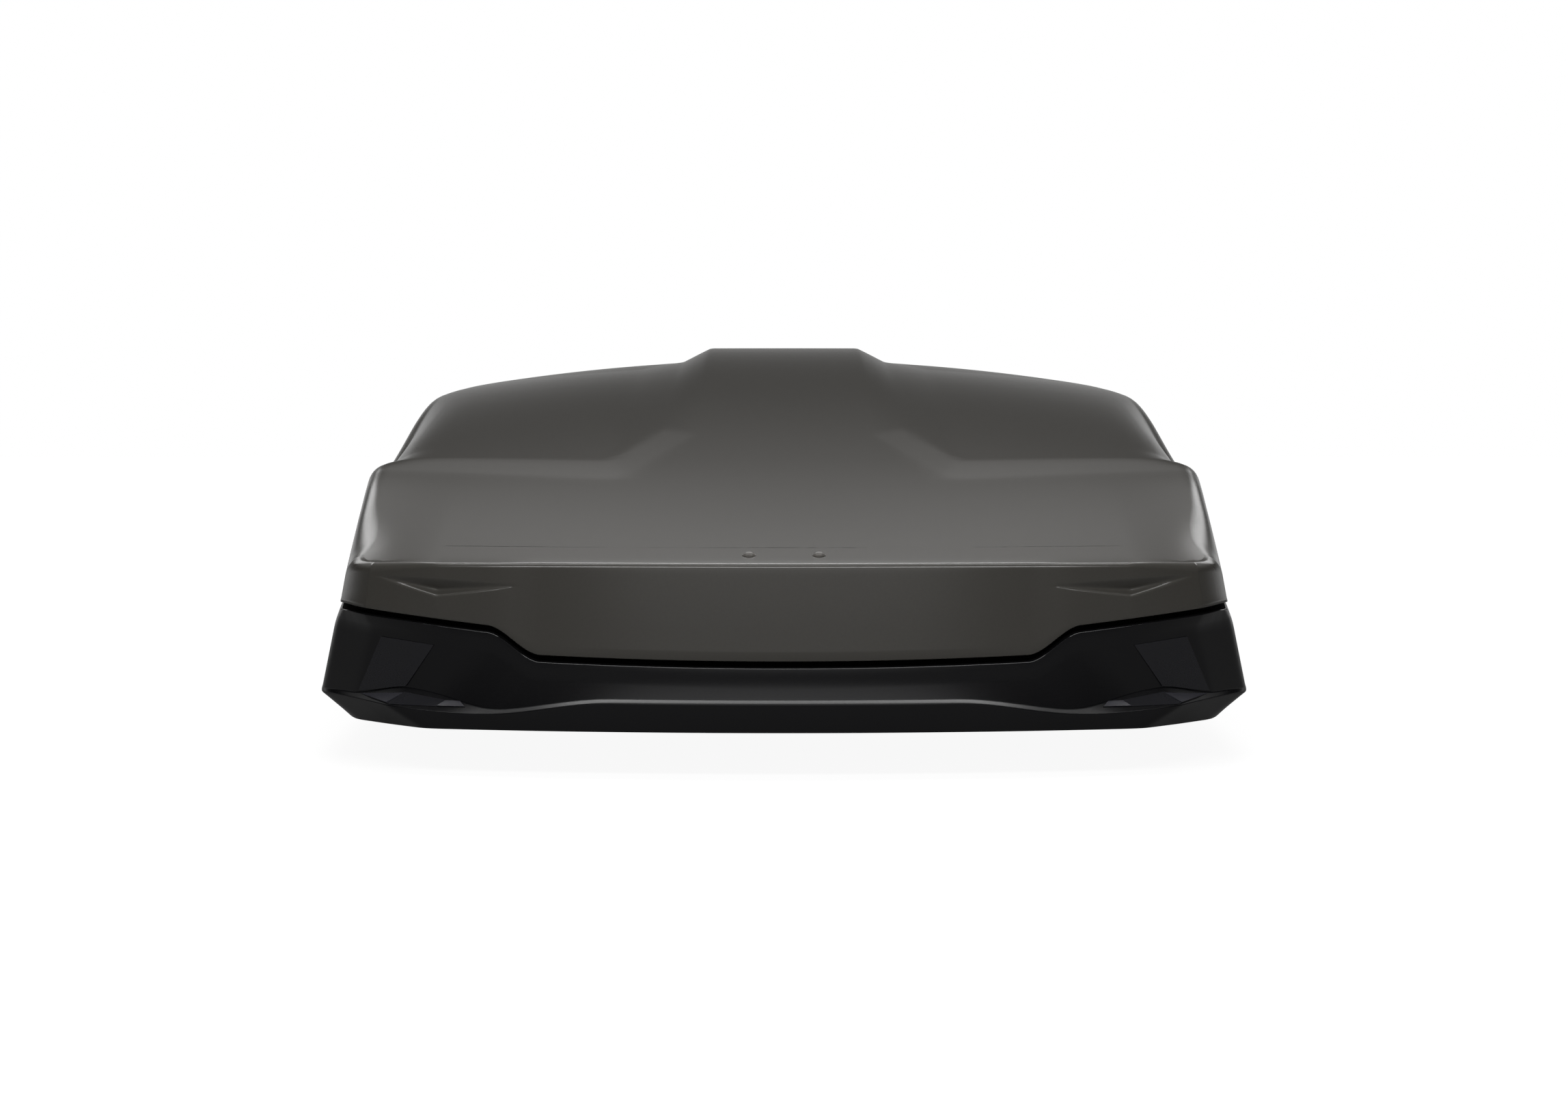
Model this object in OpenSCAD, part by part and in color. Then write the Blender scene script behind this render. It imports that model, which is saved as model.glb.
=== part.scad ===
/* [Box] */
// Overall length from nose to tail
box_length = 1950; // [1850:10:2050]
// Half of the width across the widest line of the base, at mid length
base_half_width = 470; // [450:1:490]
// Half of the width across the lower edge of the lid, at mid length
lid_half_width = 458; // [440:1:470]
// Thickness of the moulded shells
shell_wall = 4; // [3:0.5:5]
// Open seam between the lid and the base
seam = 6; // [6:0.5:8]

/* [Lid] */
// Height of the front crease of the lid
crease_z = 160; // [150:1:170]
// Height of the highest point of the spine
peak_z = 358; // [330:1:390]
// Distance from the nose to the highest point
peak_y = 1430; // [1300:10:1500]
// How far the spine has fallen at the tail
tail_fall = 45; // [20:1:70]
// Height of the lid's lower edge at the nose
edge_front_z = 68; // [64:1:74]
// Height of the lid's lower edge along the sides
edge_side_z = 116; // [112:1:124]
// Depth of the brow hollow beside each front corner
brow_depth = 7; // [3:0.5:10]

/* [Base] */
// Height of the bumper lip at the nose
lip_z = 30; // [26:1:34]
// Width of the shoulder that the lid closes over
shoulder = 16; // [15:0.5:18]
// Height of the upstand above the shoulder
upstand = 12; // [8:1:14]

/* [Crossbar clamps] */
// Width of the crossbar that the claws close on
bar_width = 80; // [60:1:84]
// Thickness of that crossbar
bar_height = 28; // [22:1:30]
// How far the claws reach below the base
claw_drop = 44; // [42:1:50]
// Distance of the floor rails from the middle
rail_x = 298; // [280:1:310]
// Distance of the front crossbar from the nose, with its clamps at mid travel
front_bar_y = 640; // [620:5:680]
// Distance of the rear crossbar from the nose, with its clamps at mid travel
rear_bar_y = 1330; // [1290:5:1350]
// Travel of a clamp to either side of its middle
clamp_travel = 110; // [60:5:115]

/* [Hinges and stays] */
// Distance of the hinge axis from the lid's outer face
hinge_in = 12; // [11:0.5:13]
// Height of the hinge axis above the lid's lower edge
hinge_up = 10; // [9.5:0.5:11]
// Radius of the hinge pins
hinge_pin_r = 2.5; // [2:0.1:2.8]
// Distance of the front stay and lid brace from the nose
front_stay_y = 400; // [385:1:415]
// Distance of the rear stay and lid brace from the nose
rear_stay_y = 1680; // [1600:1:1700]
// Height of the front lid brace above the underside of the base
front_brace_z = 192; // [186:1:196]
// Height of the rear lid brace above the underside of the base
rear_brace_z = 238; // [200:1:245]

/* [Lock] */
// Distance of the lock from the nose
lock_y = 975; // [900:5:1050]
// Height of the lock above the underside of the base
lock_z = 172; // [168:1:180]
// Travel of the locking bar
lock_travel = 18; // [14:1:20]
// Diameter of the lock's turning knob
lock_knob_d = 54; // [46:1:60]

/* [Fixings] */
// Diameter of a rivet's shank
rivet_d = 5; // [4:0.1:6]
// Diameter of a rivet's domed head
rivet_head_d = 13.5; // [11:0.5:15]

/* [Hidden] */
fit = .05; // radial clearance of a turning fit
gap = .3; // clearance between parts that only lie beside each other
$fn = 48;

function lerp(a, b, t) = a + (b - a) * t;
function clamp(v, lo = 0, hi = 1) = max(lo, min(hi, v));
function ease(t) = let (u = clamp(t)) u * u * (3 - 2 * u);
function unit(v) = v / norm(v);

// ---- plan outlines -------------------------------------------------------
// A level is [nose y, fold 1, fold 2, fold 3, half width, facet share, sweep power, side power].
// All y values count back from the nose line. The facet share is 0 for a round
// corner and 1 for a corner of flat facets between the three folds.
corner_y = 125;
hood_side_y = 416;
panel_side_y = 463;
taper_end = 640;
rear_start = box_length - 390;
rear_end = box_length - 150;
rear_taper = 20;
front_s = [0, .2, .4, .58, .66, .7, .74, .78, .82, .86, .93, 1];
side_ys = [150, 183, 225, 280, 345, hood_side_y, panel_side_y, 520, 580, taper_end];
corner_n = 8;
straight_n = 7;
rear_n = 5;
rear_corner_n = 6;
tail_n = 12;

// The folds stand in from the half width.
function level(nose, half, f1, f2, f3, share, sweep, side) =
    [nose, [half - f1[0], f1[1]], [half - f2[0], f2[1]], [half - f3[0], f3[1]], half, share, sweep, side];
edge_level = level(4, lid_half_width, [124, 44], [58, 76], [23, corner_y], .45, 2, 2.4);
lamp_level = level(4, lid_half_width + 2, [127, 45], [61, 84], [19, 130], 1, 2, 3);
foot_level = level(3, base_half_width - 2, [104, 66], [52, 105], [12, 150], 1, 2.6, 6);
lip_level = level(0, base_half_width, [90, 53], [52, 101], [13, 150], 1, 2, 6);
floor_level = level(3, base_half_width - 20, [105, 46], [66, 88], [29, 133], 1, 2, 6);

function bezier(p, t) =
    p[0] * pow(1 - t, 3) + p[1] * 3 * t * pow(1 - t, 2) + p[2] * 3 * t * t * (1 - t) + p[3] * pow(t, 3);
function front_pt(lv, s) = [lv[1][0] * s, lv[0] + (lv[1][1] - lv[0]) * pow(s, lv[6])];
function side_pt(lv, u) = [lv[4] - (lv[4] - lv[3][0]) * pow(1 - u, lv[7]), lerp(lv[3][1], taper_end, u)];
function corner_pt(lv, t) = let (
    m = lv[6] * (lv[1][1] - lv[0]) / lv[1][0],
    n = lv[7] * (lv[4] - lv[3][0]) / (taper_end - lv[3][1]),
    round_pt = bezier([lv[1], lv[1] + 75 * unit([1, m]), lv[3] - 45 * unit([n, 1]), lv[3]], t),
    facet_pt = t < .5 ? lerp(lv[1], lv[2], 2 * t) : lerp(lv[2], lv[3], 2 * t - 1)
  ) lerp(round_pt, facet_pt, lv[5]);
function rear_pt(lv, u) = [lv[4] - rear_taper * u * u, lerp(rear_start, rear_end, u)];
function rear_corner_pt(lv, t) = let (
    a = rear_pt(lv, 1), b = [lv[4] - 120, box_length - 14 - lv[0]],
    m = 2 * rear_taper / (rear_end - rear_start)
  ) bezier([a, a + 75 * unit([-m, 1]), b + 50 * unit([1, -.07]), b], t);
function tail_pt(lv, s) = let (b = rear_corner_pt(lv, 1), end = box_length - lv[0])
    [b[0] * (1 - s), end - (end - b[1]) * pow(1 - s, 2)];
function half_outline(lv) = concat(
    [for (s = front_s) front_pt(lv, s)],
    [for (i = [1:corner_n]) corner_pt(lv, i / corner_n)],
    [for (y = side_ys) side_pt(lv, (y - corner_y) / (taper_end - corner_y))],
    [for (i = [1:straight_n]) [lv[4], lerp(taper_end, rear_start, i / straight_n)]],
    [for (i = [1:rear_n]) rear_pt(lv, i / rear_n)],
    [for (i = [1:rear_corner_n]) rear_corner_pt(lv, i / rear_corner_n)],
    [for (i = [1:tail_n]) tail_pt(lv, i / tail_n)]);

taper_n = len(side_ys);
half_n = len(front_s) - 1 + corner_n + taper_n + straight_n + rear_n + rear_corner_n + tail_n;
ring_n = 2 * half_n;
// A whole ring runs up the right side and comes back along the left.
function mirror_x(p) = [-p[0], p[1]];
function whole(half) = concat(half, [for (i = [half_n - 1:-1:1]) mirror_x(half[i])]);
function outward(ring, i) = let (
    n = len(ring), d = ring[(i + 1) % n] - ring[(i + n - 1) % n]) unit([d[1], -d[0]]);
function inset(ring, d) = [for (i = [0:len(ring) - 1])
    ring[i] - outward(ring, i) * (is_list(d) ? d[i] : d)];

// ---- heights -------------------------------------------------------------
ramp_in = 232;
ramp_out = 286;
function edge_z(p) = let (x = abs(p[0])) p[1] > box_length / 2 ? edge_side_z :
    edge_front_z + 4.5 * pow(min(x, ramp_in) / ramp_in, 2)
    + 28 * ease((x - ramp_in) / (ramp_out - ramp_in))
    + (edge_side_z - edge_front_z - 32.5) * clamp((x - ramp_out) / 140);
lip_side_z = 25;
function lip_height(p) = let (x = abs(p[0])) p[1] > 300 ? lip_side_z :
    lip_z - 14 * ease((x - 165) / 125) + 9 * ease((x - 290) / 160);

// Half width of the spine, and the width of the chamfer beside it
spine_half = 97;
chamfer = 35;
// The hood ends at hood_y on the centre and the rear panels start at panel_y.
hood_y = 336;
panel_y = 411;
knee_x = 185;
panel_drop = 16;
function centre_z(y) = y < peak_y
    ? crease_z + (peak_z - crease_z) * (1 - pow(1 - max(y, 0) / peak_y, 1.6))
    : peak_z - tail_fall * pow((y - peak_y) / (box_length - peak_y), 2);
function swept(x) = pow(clamp((x - knee_x) / (lid_half_width - 28 - knee_x)), 1.2);
function hood_line(x) = lerp(hood_y, hood_side_y, swept(x));
function panel_line(x) = lerp(panel_y, panel_side_y, swept(x));
// 1 on the hood and the spine, 0 on the rear side panels
function raised(x, y) = clamp(max(
    (spine_half + chamfer - x) / chamfer,
    (panel_line(x) - y) / (panel_line(x) - hood_line(x)),
    (171 - x - .42 * (y - 430)) / 31));
// How far back the front crease has swept at x; the hood starts level all along it.
crease_fold = edge_level[1][0];
function crease_y(x) = x < crease_fold ? 10 + 40 * pow(x / crease_fold, 2)
    : 50 + 79 * pow((x - crease_fold) / (lid_half_width - 31 - crease_fold), 1.45);
function hood_z(x, y) = let (back = crease_y(x)) lerp(
    centre_z(y - back) - 2 * pow(x / 410, 3), centre_z(y) - 11 * pow(x / 440, 3),
    ease((y - back) / (hood_side_y - back)));
function top_z(p) = let (
    x = abs(p[0]), y = p[1],
    hood = hood_z(x, y),
    back = ease((y - panel_y) / 230),
    panel = centre_z(y) - lerp(-1, panel_drop, back)
        - lerp(11 * pow(x / 440, 3), 39 * pow(x / 440, 2), ease((y - panel_y) / 420))
  ) lerp(panel, hood, raised(x, y));

// ---- rings of the two shells ----------------------------------------------
edge_ring = whole(half_outline(edge_level));
function at_z(ring, zs) = [for (i = [0:len(ring) - 1]) [ring[i][0], ring[i][1], zs[i]]];
edge_zs = [for (p = edge_ring) edge_z(p)];

function draft(p) = let (x = abs(p[0]), y = p[1])
    y < 200 ? lerp(.065, .2, ease((x - 334) / 80)) :
    y > rear_end ? .1 : lerp(.2, .045, ease((y - 200) / 500));
crease_ring = inset(edge_ring, [for (i = [0:ring_n - 1])
    draft(edge_ring[i]) * (top_z(edge_ring[i]) - edge_zs[i])]);
crease_zs = [for (p = crease_ring) top_z(p)];
function soften(p) = let (x = abs(p[0]), y = p[1])
    y > rear_end ? 30 :
    y < 190 ? lerp(lerp(5, 10, ease((x - 330) / 70)), 24, ease((y - 95) / 85)) :
    y < 300 ? lerp(24, 17, ease((y - 190) / 110)) :
    lerp(17, 20, ease((y - hood_side_y) / 60));
softs = [for (p = crease_ring) soften(p)];
rim_ring = inset(crease_ring, softs);
rim_zs = [for (p = rim_ring) top_z(p)];
edge3 = at_z(edge_ring, edge_zs);
crease3 = at_z(crease_ring, crease_zs);
rim3 = at_z(rim_ring, rim_zs);
below3 = [for (i = [0:ring_n - 1]) crease3[i] + unit(edge3[i] - crease3[i]) * softs[i]];
function soft_ring(t) = [for (i = [0:ring_n - 1])
    below3[i] * pow(1 - t, 2) + crease3[i] * 2 * t * (1 - t) + rim3[i] * t * t];

// The brow is a V-shaped hollow whose apex lies on the front fold.
brow_apex = edge_level[1][0];
brow_in = brow_apex - 76;
brow_out = brow_apex + 60;
function brow(p) = let (x = abs(p[0])) p[1] > 200 ? 0 :
    x < brow_apex ? clamp((x - brow_in) / (brow_apex - brow_in))
                  : clamp((brow_out - x) / (brow_out - brow_apex));
function wall_pt(i, z, d = 0) = let (
    t = (z - edge3[i][2]) / (below3[i][2] - edge3[i][2]), p = lerp(edge3[i], below3[i], t),
    n = outward(edge_ring, i)) [p[0] - n[0] * d, p[1] - n[1] * d, p[2]];
function brow_top(i) = let (x = abs(edge_ring[i][0]), plain = lerp(edge3[i][2], below3[i][2], .8))
    edge_ring[i][1] > 200 ? plain : min(below3[i][2] - 2,
        lerp(plain, 140 + 7 * (x - brow_in) / (brow_out - brow_in), ease((x - 200) / 50)));
ledge_ring = [for (i = [0:ring_n - 1]) let (b = brow(edge_ring[i]))
    wall_pt(i, brow_top(i) - 3 - 13 * b, -1.2 * b)];
hollow_ring = [for (i = [0:ring_n - 1]) let (b = brow(edge_ring[i]))
    wall_pt(i, brow_top(i) - 2 - 9 * b, brow_depth * b)];
brow_ring = [for (i = [0:ring_n - 1]) wall_pt(i, brow_top(i))];

// Columns of the top grid follow the spine edge and the chamfer foot.
spine_top_y = 550;
function spine_edge(y) = y > spine_top_y ? spine_half :
    y > 352 ? lerp(165, spine_half, (y - 352) / (spine_top_y - 352)) :
    y > hood_y ? lerp(knee_x, 165, (y - hood_y) / (352 - hood_y)) : knee_x;
function chamfer_foot(y) = y > 520 ? spine_half + chamfer :
    y > 430 ? lerp(176, spine_half + chamfer, (y - 430) / 90) :
    y > panel_y ? lerp(203, 176, (y - panel_y) / (430 - panel_y)) : lerp(235, 203, ease((y - 200) / 211));
col_n = len(front_s) - 1 + corner_n / 2;
row_n = corner_n / 2 + taper_n + straight_n + rear_n + rear_corner_n / 2;
// Rows bow forwards on the centre, so that two of them run along the hood line
// and the panel line.
function row_bow(y) = lookup(y, [[60, 58], [corner_y, 62], [hood_side_y, hood_side_y - hood_y],
    [panel_side_y, panel_side_y - panel_y], [580, 580 - spine_top_y], [900, 0],
    [rear_end, 0], [box_length, -14]]);
function inner_x(k, y, w) = k <= 3 ? spine_edge(y) * k / 3 :
    k <= 5 ? lerp(spine_edge(y), chamfer_foot(y), (k - 3) / 2) :
    lerp(chamfer_foot(y), w, (k - 5) / (col_n - 5));
function grid_pt(i, j) = let (
    k = abs(i), side = i < 0 ? -1 : 1,
    edge = rim_ring[col_n + j], w = edge[0],
    front = rim_ring[k], back = rim_ring[half_n - k],
    a = ease(j / 5), b = ease((row_n - j) / 4),
    rim_x = a < 1 ? front[0] * w / rim_ring[col_n][0] : back[0] * w / rim_ring[half_n - col_n][0],
    x0 = inner_x(k, edge[1] - row_bow(edge[1]), w),
    x = lerp(rim_x, x0, min(a, b)),
    q = knee_x * ease((edge[1] - 60) / 340),
    y = edge[1] - row_bow(edge[1]) * (1 - pow(clamp((x - q) / (w - q)), lerp(2, 1.2, ease((edge[1] - 60) / 340))))
  ) j == 0 ? [side * front[0], front[1]] : j == row_n ? [side * back[0], back[1]] :
    k == col_n ? [side * edge[0], edge[1]] : [side * x, y];

// Perimeter position k of the ring as a place in the grid
function rim_cell(k) = k <= half_n ? (
      k <= col_n ? [k, 0] : k <= col_n + row_n ? [col_n, k - col_n] : [half_n - k, row_n]
    ) : let (c = rim_cell(ring_n - k)) [-c[0], c[1]];
grid_w = 2 * col_n + 1;
function cell_index(c) = c[1] * grid_w + c[0] + col_n;
grid_count = grid_w * (row_n + 1);

// Two triangles of one wall quad; the two sides of the box mirror each other.
function strip(a, b, c, d, right) = right ? [[a, b, c], [a, c, d]] : [[a, b, d], [b, c, d]];

// Closed skin between two grids and the rings that join their rims
module grid_shell(outer, rings, inner) {
    n = len(rings);
    base_i = grid_count;
    inner_i = grid_count + n * ring_n;
    function ring_i(r, k) = base_i + r * ring_n + (k + ring_n) % ring_n;
    function rim_i(k) = cell_index(rim_cell((k + ring_n) % ring_n));
    points = concat(outer, [for (r = rings) each r], inner);
    faces = concat(
        [for (j = [0:row_n - 1], i = [-col_n:col_n - 1])
            each let (a = cell_index([i, j]), b = a + 1, c = b + grid_w, d = a + grid_w)
            (i < 0) ? [[a, d, b], [b, d, c]] : [[a, d, c], [a, c, b]]],
        [for (k = [0:ring_n - 1]) each let (a = rim_i(k), b = rim_i(k + 1), c = ring_i(0, k + 1), d = ring_i(0, k))
            [[a, b, c], [a, c, d]]],
        [for (r = [0:n - 2], k = [0:ring_n - 1]) each strip(
            ring_i(r, k), ring_i(r, k + 1), ring_i(r + 1, k + 1), ring_i(r + 1, k), k < half_n)],
        [for (k = [0:ring_n - 1]) each let (a = ring_i(n - 1, k), b = ring_i(n - 1, k + 1),
            c = inner_i + rim_i(k + 1), d = inner_i + rim_i(k))
            [[a, b, c], [a, c, d]]],
        [for (j = [0:row_n - 1], i = [-col_n:col_n - 1])
            each let (a = inner_i + cell_index([i, j]), b = a + 1, c = b + grid_w, d = a + grid_w)
            (i < 0) ? [[a, b, d], [b, c, d]] : [[a, c, d], [a, b, c]]]);
    polyhedron(points, faces, convexity = 6);
}

function drop_in(ring3, d, dz = 0) = let (flat = inset([for (p = ring3) [p[0], p[1]]], d))
    [for (i = [0:len(ring3) - 1]) [flat[i][0], flat[i][1], ring3[i][2] - dz]];

// Everything is drawn from the nose line and the underside of the base, then set
// over the origin, which lies under the claws' lowest points.
module from_nose() { translate([0, -box_length / 2, claw_drop]) children(); }

module lid_skin() {
    outer = [for (j = [0:row_n], i = [-col_n:col_n]) let (p = grid_pt(i, j)) [p[0], p[1], top_z(p)]];
    inner_rim = drop_in(rim3, shell_wall * .5, shell_wall);
    inner = [for (j = [0:row_n], i = [-col_n:col_n]) let (p = grid_pt(i, j))
        abs(i) == col_n || j == 0 || j == row_n
            ? let (k = j == 0 ? abs(i) : j == row_n ? half_n - abs(i) : col_n + j, q = inner_rim[k])
              [i < 0 ? -q[0] : q[0], q[1], q[2]]
            : [p[0], p[1], top_z(p) - shell_wall]];
    grid_shell(outer, [
        soft_ring(.75), soft_ring(.5), soft_ring(.25), below3, brow_ring, hollow_ring, ledge_ring,
        edge3,
        drop_in(edge3, shell_wall),
        drop_in(ledge_ring, shell_wall),
        drop_in(hollow_ring, shell_wall),
        drop_in(brow_ring, shell_wall),
        drop_in(below3, shell_wall),
        drop_in(soft_ring(.5), shell_wall * .8, shell_wall * .6)], inner);
}

// Flat cap over a ring, as strips between its mirrored halves
function cap(first, up) = [for (i = [0:half_n - 1]) each let (
    a = first + i, b = first + i + 1, c = first + (ring_n - i - 1) % ring_n, d = first + (ring_n - i) % ring_n,
    tris = i == 0 ? [[a, b, c]] : i == half_n - 1 ? [[a, b, d]] : [[a, b, c], [a, c, d]])
    [for (t = tris) up ? [t[2], t[1], t[0]] : t]];

module ring_shell(rings) {
    n = len(rings);
    points = [for (r = rings) each r];
    function at(r, k) = r * ring_n + k % ring_n;
    faces = concat(cap(0, false), [for (r = [0:n - 2], k = [0:ring_n - 1])
        each strip(at(r + 1, k), at(r + 1, k + 1), at(r, k + 1), at(r, k), k >= half_n)],
        cap((n - 1) * ring_n, true));
    polyhedron(points, faces, convexity = 6);
}

module base_skin() {
    floor_ring = whole(half_outline(floor_level));
    lip_ring = whole(half_outline(lip_level));
    foot_ring = whole(half_outline(foot_level));
    lamp_ring = whole(half_outline(lamp_level));
    top_zs = [for (z = edge_zs) z - seam];
    foot_zs = [for (i = [0:ring_n - 1]) let (x = abs(foot_ring[i][0]), z = lip_height(lip_ring[i]) + 4)
        foot_ring[i][1] > 200 ? z : z + 12 * ease((x - 210) / 154) - 12 * ease((x - 364) / 60)];
    floor3 = at_z(floor_ring, [for (p = floor_ring) 0]);
    lip3 = at_z(lip_ring, [for (p = lip_ring) lip_height(p)]);
    foot3 = at_z(foot_ring, foot_zs);
    lamp3 = at_z(lamp_ring, [for (z = top_zs) z - 15]);
    top3 = at_z(edge_ring, top_zs);
    step3 = drop_in(top3, shoulder);
    rise3 = drop_in(step3, 0, -upstand);
    ring_shell([
        floor3, lip3, foot3, lamp3, top3, step3, rise3,
        drop_in(rise3, shell_wall - 1),
        drop_in(top3, shoulder + shell_wall - 1, shell_wall),
        drop_in(top3, shell_wall + 1, shell_wall + 1),
        drop_in(lamp3, shell_wall),
        drop_in(foot3, shell_wall),
        drop_in(floor3, shell_wall + 8, -shell_wall)]);
}

// ---- lines that the fittings take from the shells -------------------------
top_side_z = edge_side_z - seam;          // shoulder of the base along the sides
rim_side_z = top_side_z + upstand;        // top of its upstand
upstand_wall = shell_wall - 1;
function side_w(y) = y < taper_end ? side_pt(edge_level, (y - corner_y) / (taper_end - corner_y))[0] :
    y < rear_start ? lid_half_width : rear_pt(edge_level, (y - rear_start) / (rear_end - rear_start))[0];
function side_draft(y) = draft([lid_half_width, y]);
// Outer face of the lid's side wall, its lean and its turn in plan
function wall_x(y, z) = side_w(y) - side_draft(y) * (z - edge_side_z);
function wall_lean(y) = atan(side_draft(y));
function wall_turn(y) = atan((side_w(y + 20) - side_w(y - 20)) / 40);
// Frame on the lid's side wall: z points outwards, x towards the tail, y up.
module on_wall(side, y, z) {
    mirror([side < 0 ? 1 : 0, 0, 0]) translate([wall_x(y, z), y, z])
        rotate([0, 0, -wall_turn(y)]) rotate([0, -wall_lean(y), 0])
        rotate([90, 0, 90]) children();
}

// Domed rivet: head above z = 0, shank and set end below for a grip of two parts
module rivet(grip) {
    dome_h = 3.2;
    dome_r = (pow(rivet_head_d / 2, 2) + dome_h * dome_h) / (2 * dome_h);
    translate([0, 0, gap]) intersection() {
        translate([0, 0, dome_h - dome_r]) sphere(r = dome_r);
        cylinder(d = rivet_head_d + 1, h = dome_h + 1);
    }
    translate([0, 0, -grip - 1]) cylinder(d = rivet_d, h = grip + 1 + gap);
    translate([0, 0, -grip - 2.5]) cylinder(d = rivet_d + 3, h = 2.5 - gap / 2);
}
// Twelve-sided hole that clears a round shank all the way round
module drilled(d, h) { translate([0, 0, -h / 2]) cylinder(d = d / cos(15) + .2, h = h, $fn = 12); }

// ---- the two shells --------------------------------------------------------
slot_w = 30;
slot_half = clamp_travel + 62;
rail_rivet_ys = [72, 250, 430, 850, 985, 1120, 1560, 1740, box_length - 80];
bar_ys = [front_bar_y, rear_bar_y];
hinge_ys = [taper_end + 30, (taper_end + rear_start) / 2 - 20, rear_start - 70];
stay_ys = [front_stay_y, rear_stay_y];
nose_rivet_x = 33.5;
nose_rivet_y = 42;
nose_slope = atan((centre_z(nose_rivet_y + 5) - centre_z(nose_rivet_y - 5)) / 10);
brace_zs = [front_brace_z, rear_brace_z];
brace_rivet_drop = 12;
lid_leaf_z = 150;
base_leaf_z = rim_side_z - 7.5;
leaf_half = 28;
leaf_rivet = 18;
striker_pitch = 475;
striker_ys = [lock_y - striker_pitch, lock_y, lock_y + striker_pitch];
drill = 60;

module rail_slots(h) {
    for (y = bar_ys, s = [-1, 1]) translate([s * rail_x, y, 0]) cube([slot_w, 2 * slot_half, h], center = true);
}
module rail_rivet_places() { for (y = rail_rivet_ys, s = [-1, 1]) translate([s * rail_x, y, 0]) children(); }
module nose_rivet_places() {
    for (s = [-1, 1]) translate([s * nose_rivet_x, nose_rivet_y, top_z([nose_rivet_x, nose_rivet_y])])
        rotate([nose_slope, 0, 0]) children();
}
module brace_rivet_places() {
    for (k = [0, 1], s = [-1, 1]) on_wall(s, stay_ys[k], brace_zs[k] - brace_rivet_drop) children();
}
module lid_leaf_places() {
    for (y = hinge_ys, d = [-1, 1]) on_wall(-1, y + d * leaf_rivet, lid_leaf_z) children();
}
module upstand_places(side, ys, z) {
    for (y = ys, d = [-1, 1]) let (v = y + d * leaf_rivet)
        translate([side * (side_w(v) - shoulder), v, z])
            rotate([0, 0, -side * wall_turn(v)]) rotate([0, side * 90, 0]) children();
}

// The floor panel is let into the moulding this far inside its lower edge.
floor_seat = 26;
module floor_zone(d, from, h) translate([0, 0, from]) linear_extrude(h)
    polygon(inset(whole(half_outline(floor_level)), floor_seat + d));
module base_floor() color("#1b1b1e") from_nose() difference() {
    floor_zone(gap / 2, 0, shell_wall);
    rail_slots(20);
    rail_rivet_places() drilled(rivet_d, 20);
}

module base_shell() color("#17171a") from_nose() difference() {
    base_skin();
    floor_zone(0, -5, 20);
    upstand_places(-1, hinge_ys, base_leaf_z) drilled(rivet_d, 12);
    upstand_places(1, striker_ys, base_leaf_z) drilled(rivet_d, 12);
}

module lid_shell() color("#77726d") from_nose() difference() {
    lid_skin();
    nose_rivet_places() drilled(rivet_d, 20);
    brace_rivet_places() drilled(rivet_d, 20);
    lid_leaf_places() drilled(rivet_d, 20);
    guide_rivet_places() drilled(rivet_d, 20);
    on_wall(1, lock_y, lock_z) drilled(lock_barrel_d, 20);
}

// ---- floor rails and crossbar clamps ---------------------------------------
rail_z = shell_wall + gap / 2;
rail_t = 2;
rail_w = 70;
rail_lip = 10;
rail_front = 60;
rail_back = box_length - 66;
rail_top = rail_z + rail_t;

module floor_rails() color("#b9bcc0") from_nose() for (side = [-1, 1]) difference() {
    translate([side * rail_x, 0, rail_z]) rotate([-90, 0, 0]) mirror([0, 1, 0]) translate([0, 0, rail_front])
        linear_extrude(rail_back - rail_front) polygon([
            [-rail_w / 2, 0], [rail_w / 2, 0], [rail_w / 2, rail_lip], [rail_w / 2 - rail_t, rail_lip],
            [rail_w / 2 - rail_t, rail_t], [-rail_w / 2 + rail_t, rail_t], [-rail_w / 2 + rail_t, rail_lip],
            [-rail_w / 2, rail_lip]]);
    rail_slots(40);
    for (y = rail_rivet_ys) translate([side * rail_x, y, 0]) cylinder(d = rivet_d + 2 * fit, h = 20);
}
module floor_rivets() color("#3a3a3e") from_nose()
    rail_rivet_places() rotate([180, 0, 0]) rivet(rail_top);

pad_t = 4;
module seat_pads() color("#1c1c1c") from_nose()
    for (y = bar_ys, s = [-1, 1], d = [-1, 1])
        translate([s * rail_x + d * (slot_w / 2 + 9), y, -pad_t / 2 - gap / 4])
            cube([14, 2 * slot_half - 10, pad_t - gap / 2], center = true);

// The clamp's own frame: x across the rail, y along it, z up from the base's underside.
carriage_half = 62;
carriage_w = 54;
carriage_z = rail_top + gap;
carriage_top = 38;
jaw_w = 24;
jaw_pivot_z = 24;
jaw_pivot_y = bar_width / 2;
jaw_eye_r = 7;
jaw_pin_r = 3;
jaw_leg = 8;
jaw_open = 22;
knob_r = 30;

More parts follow.
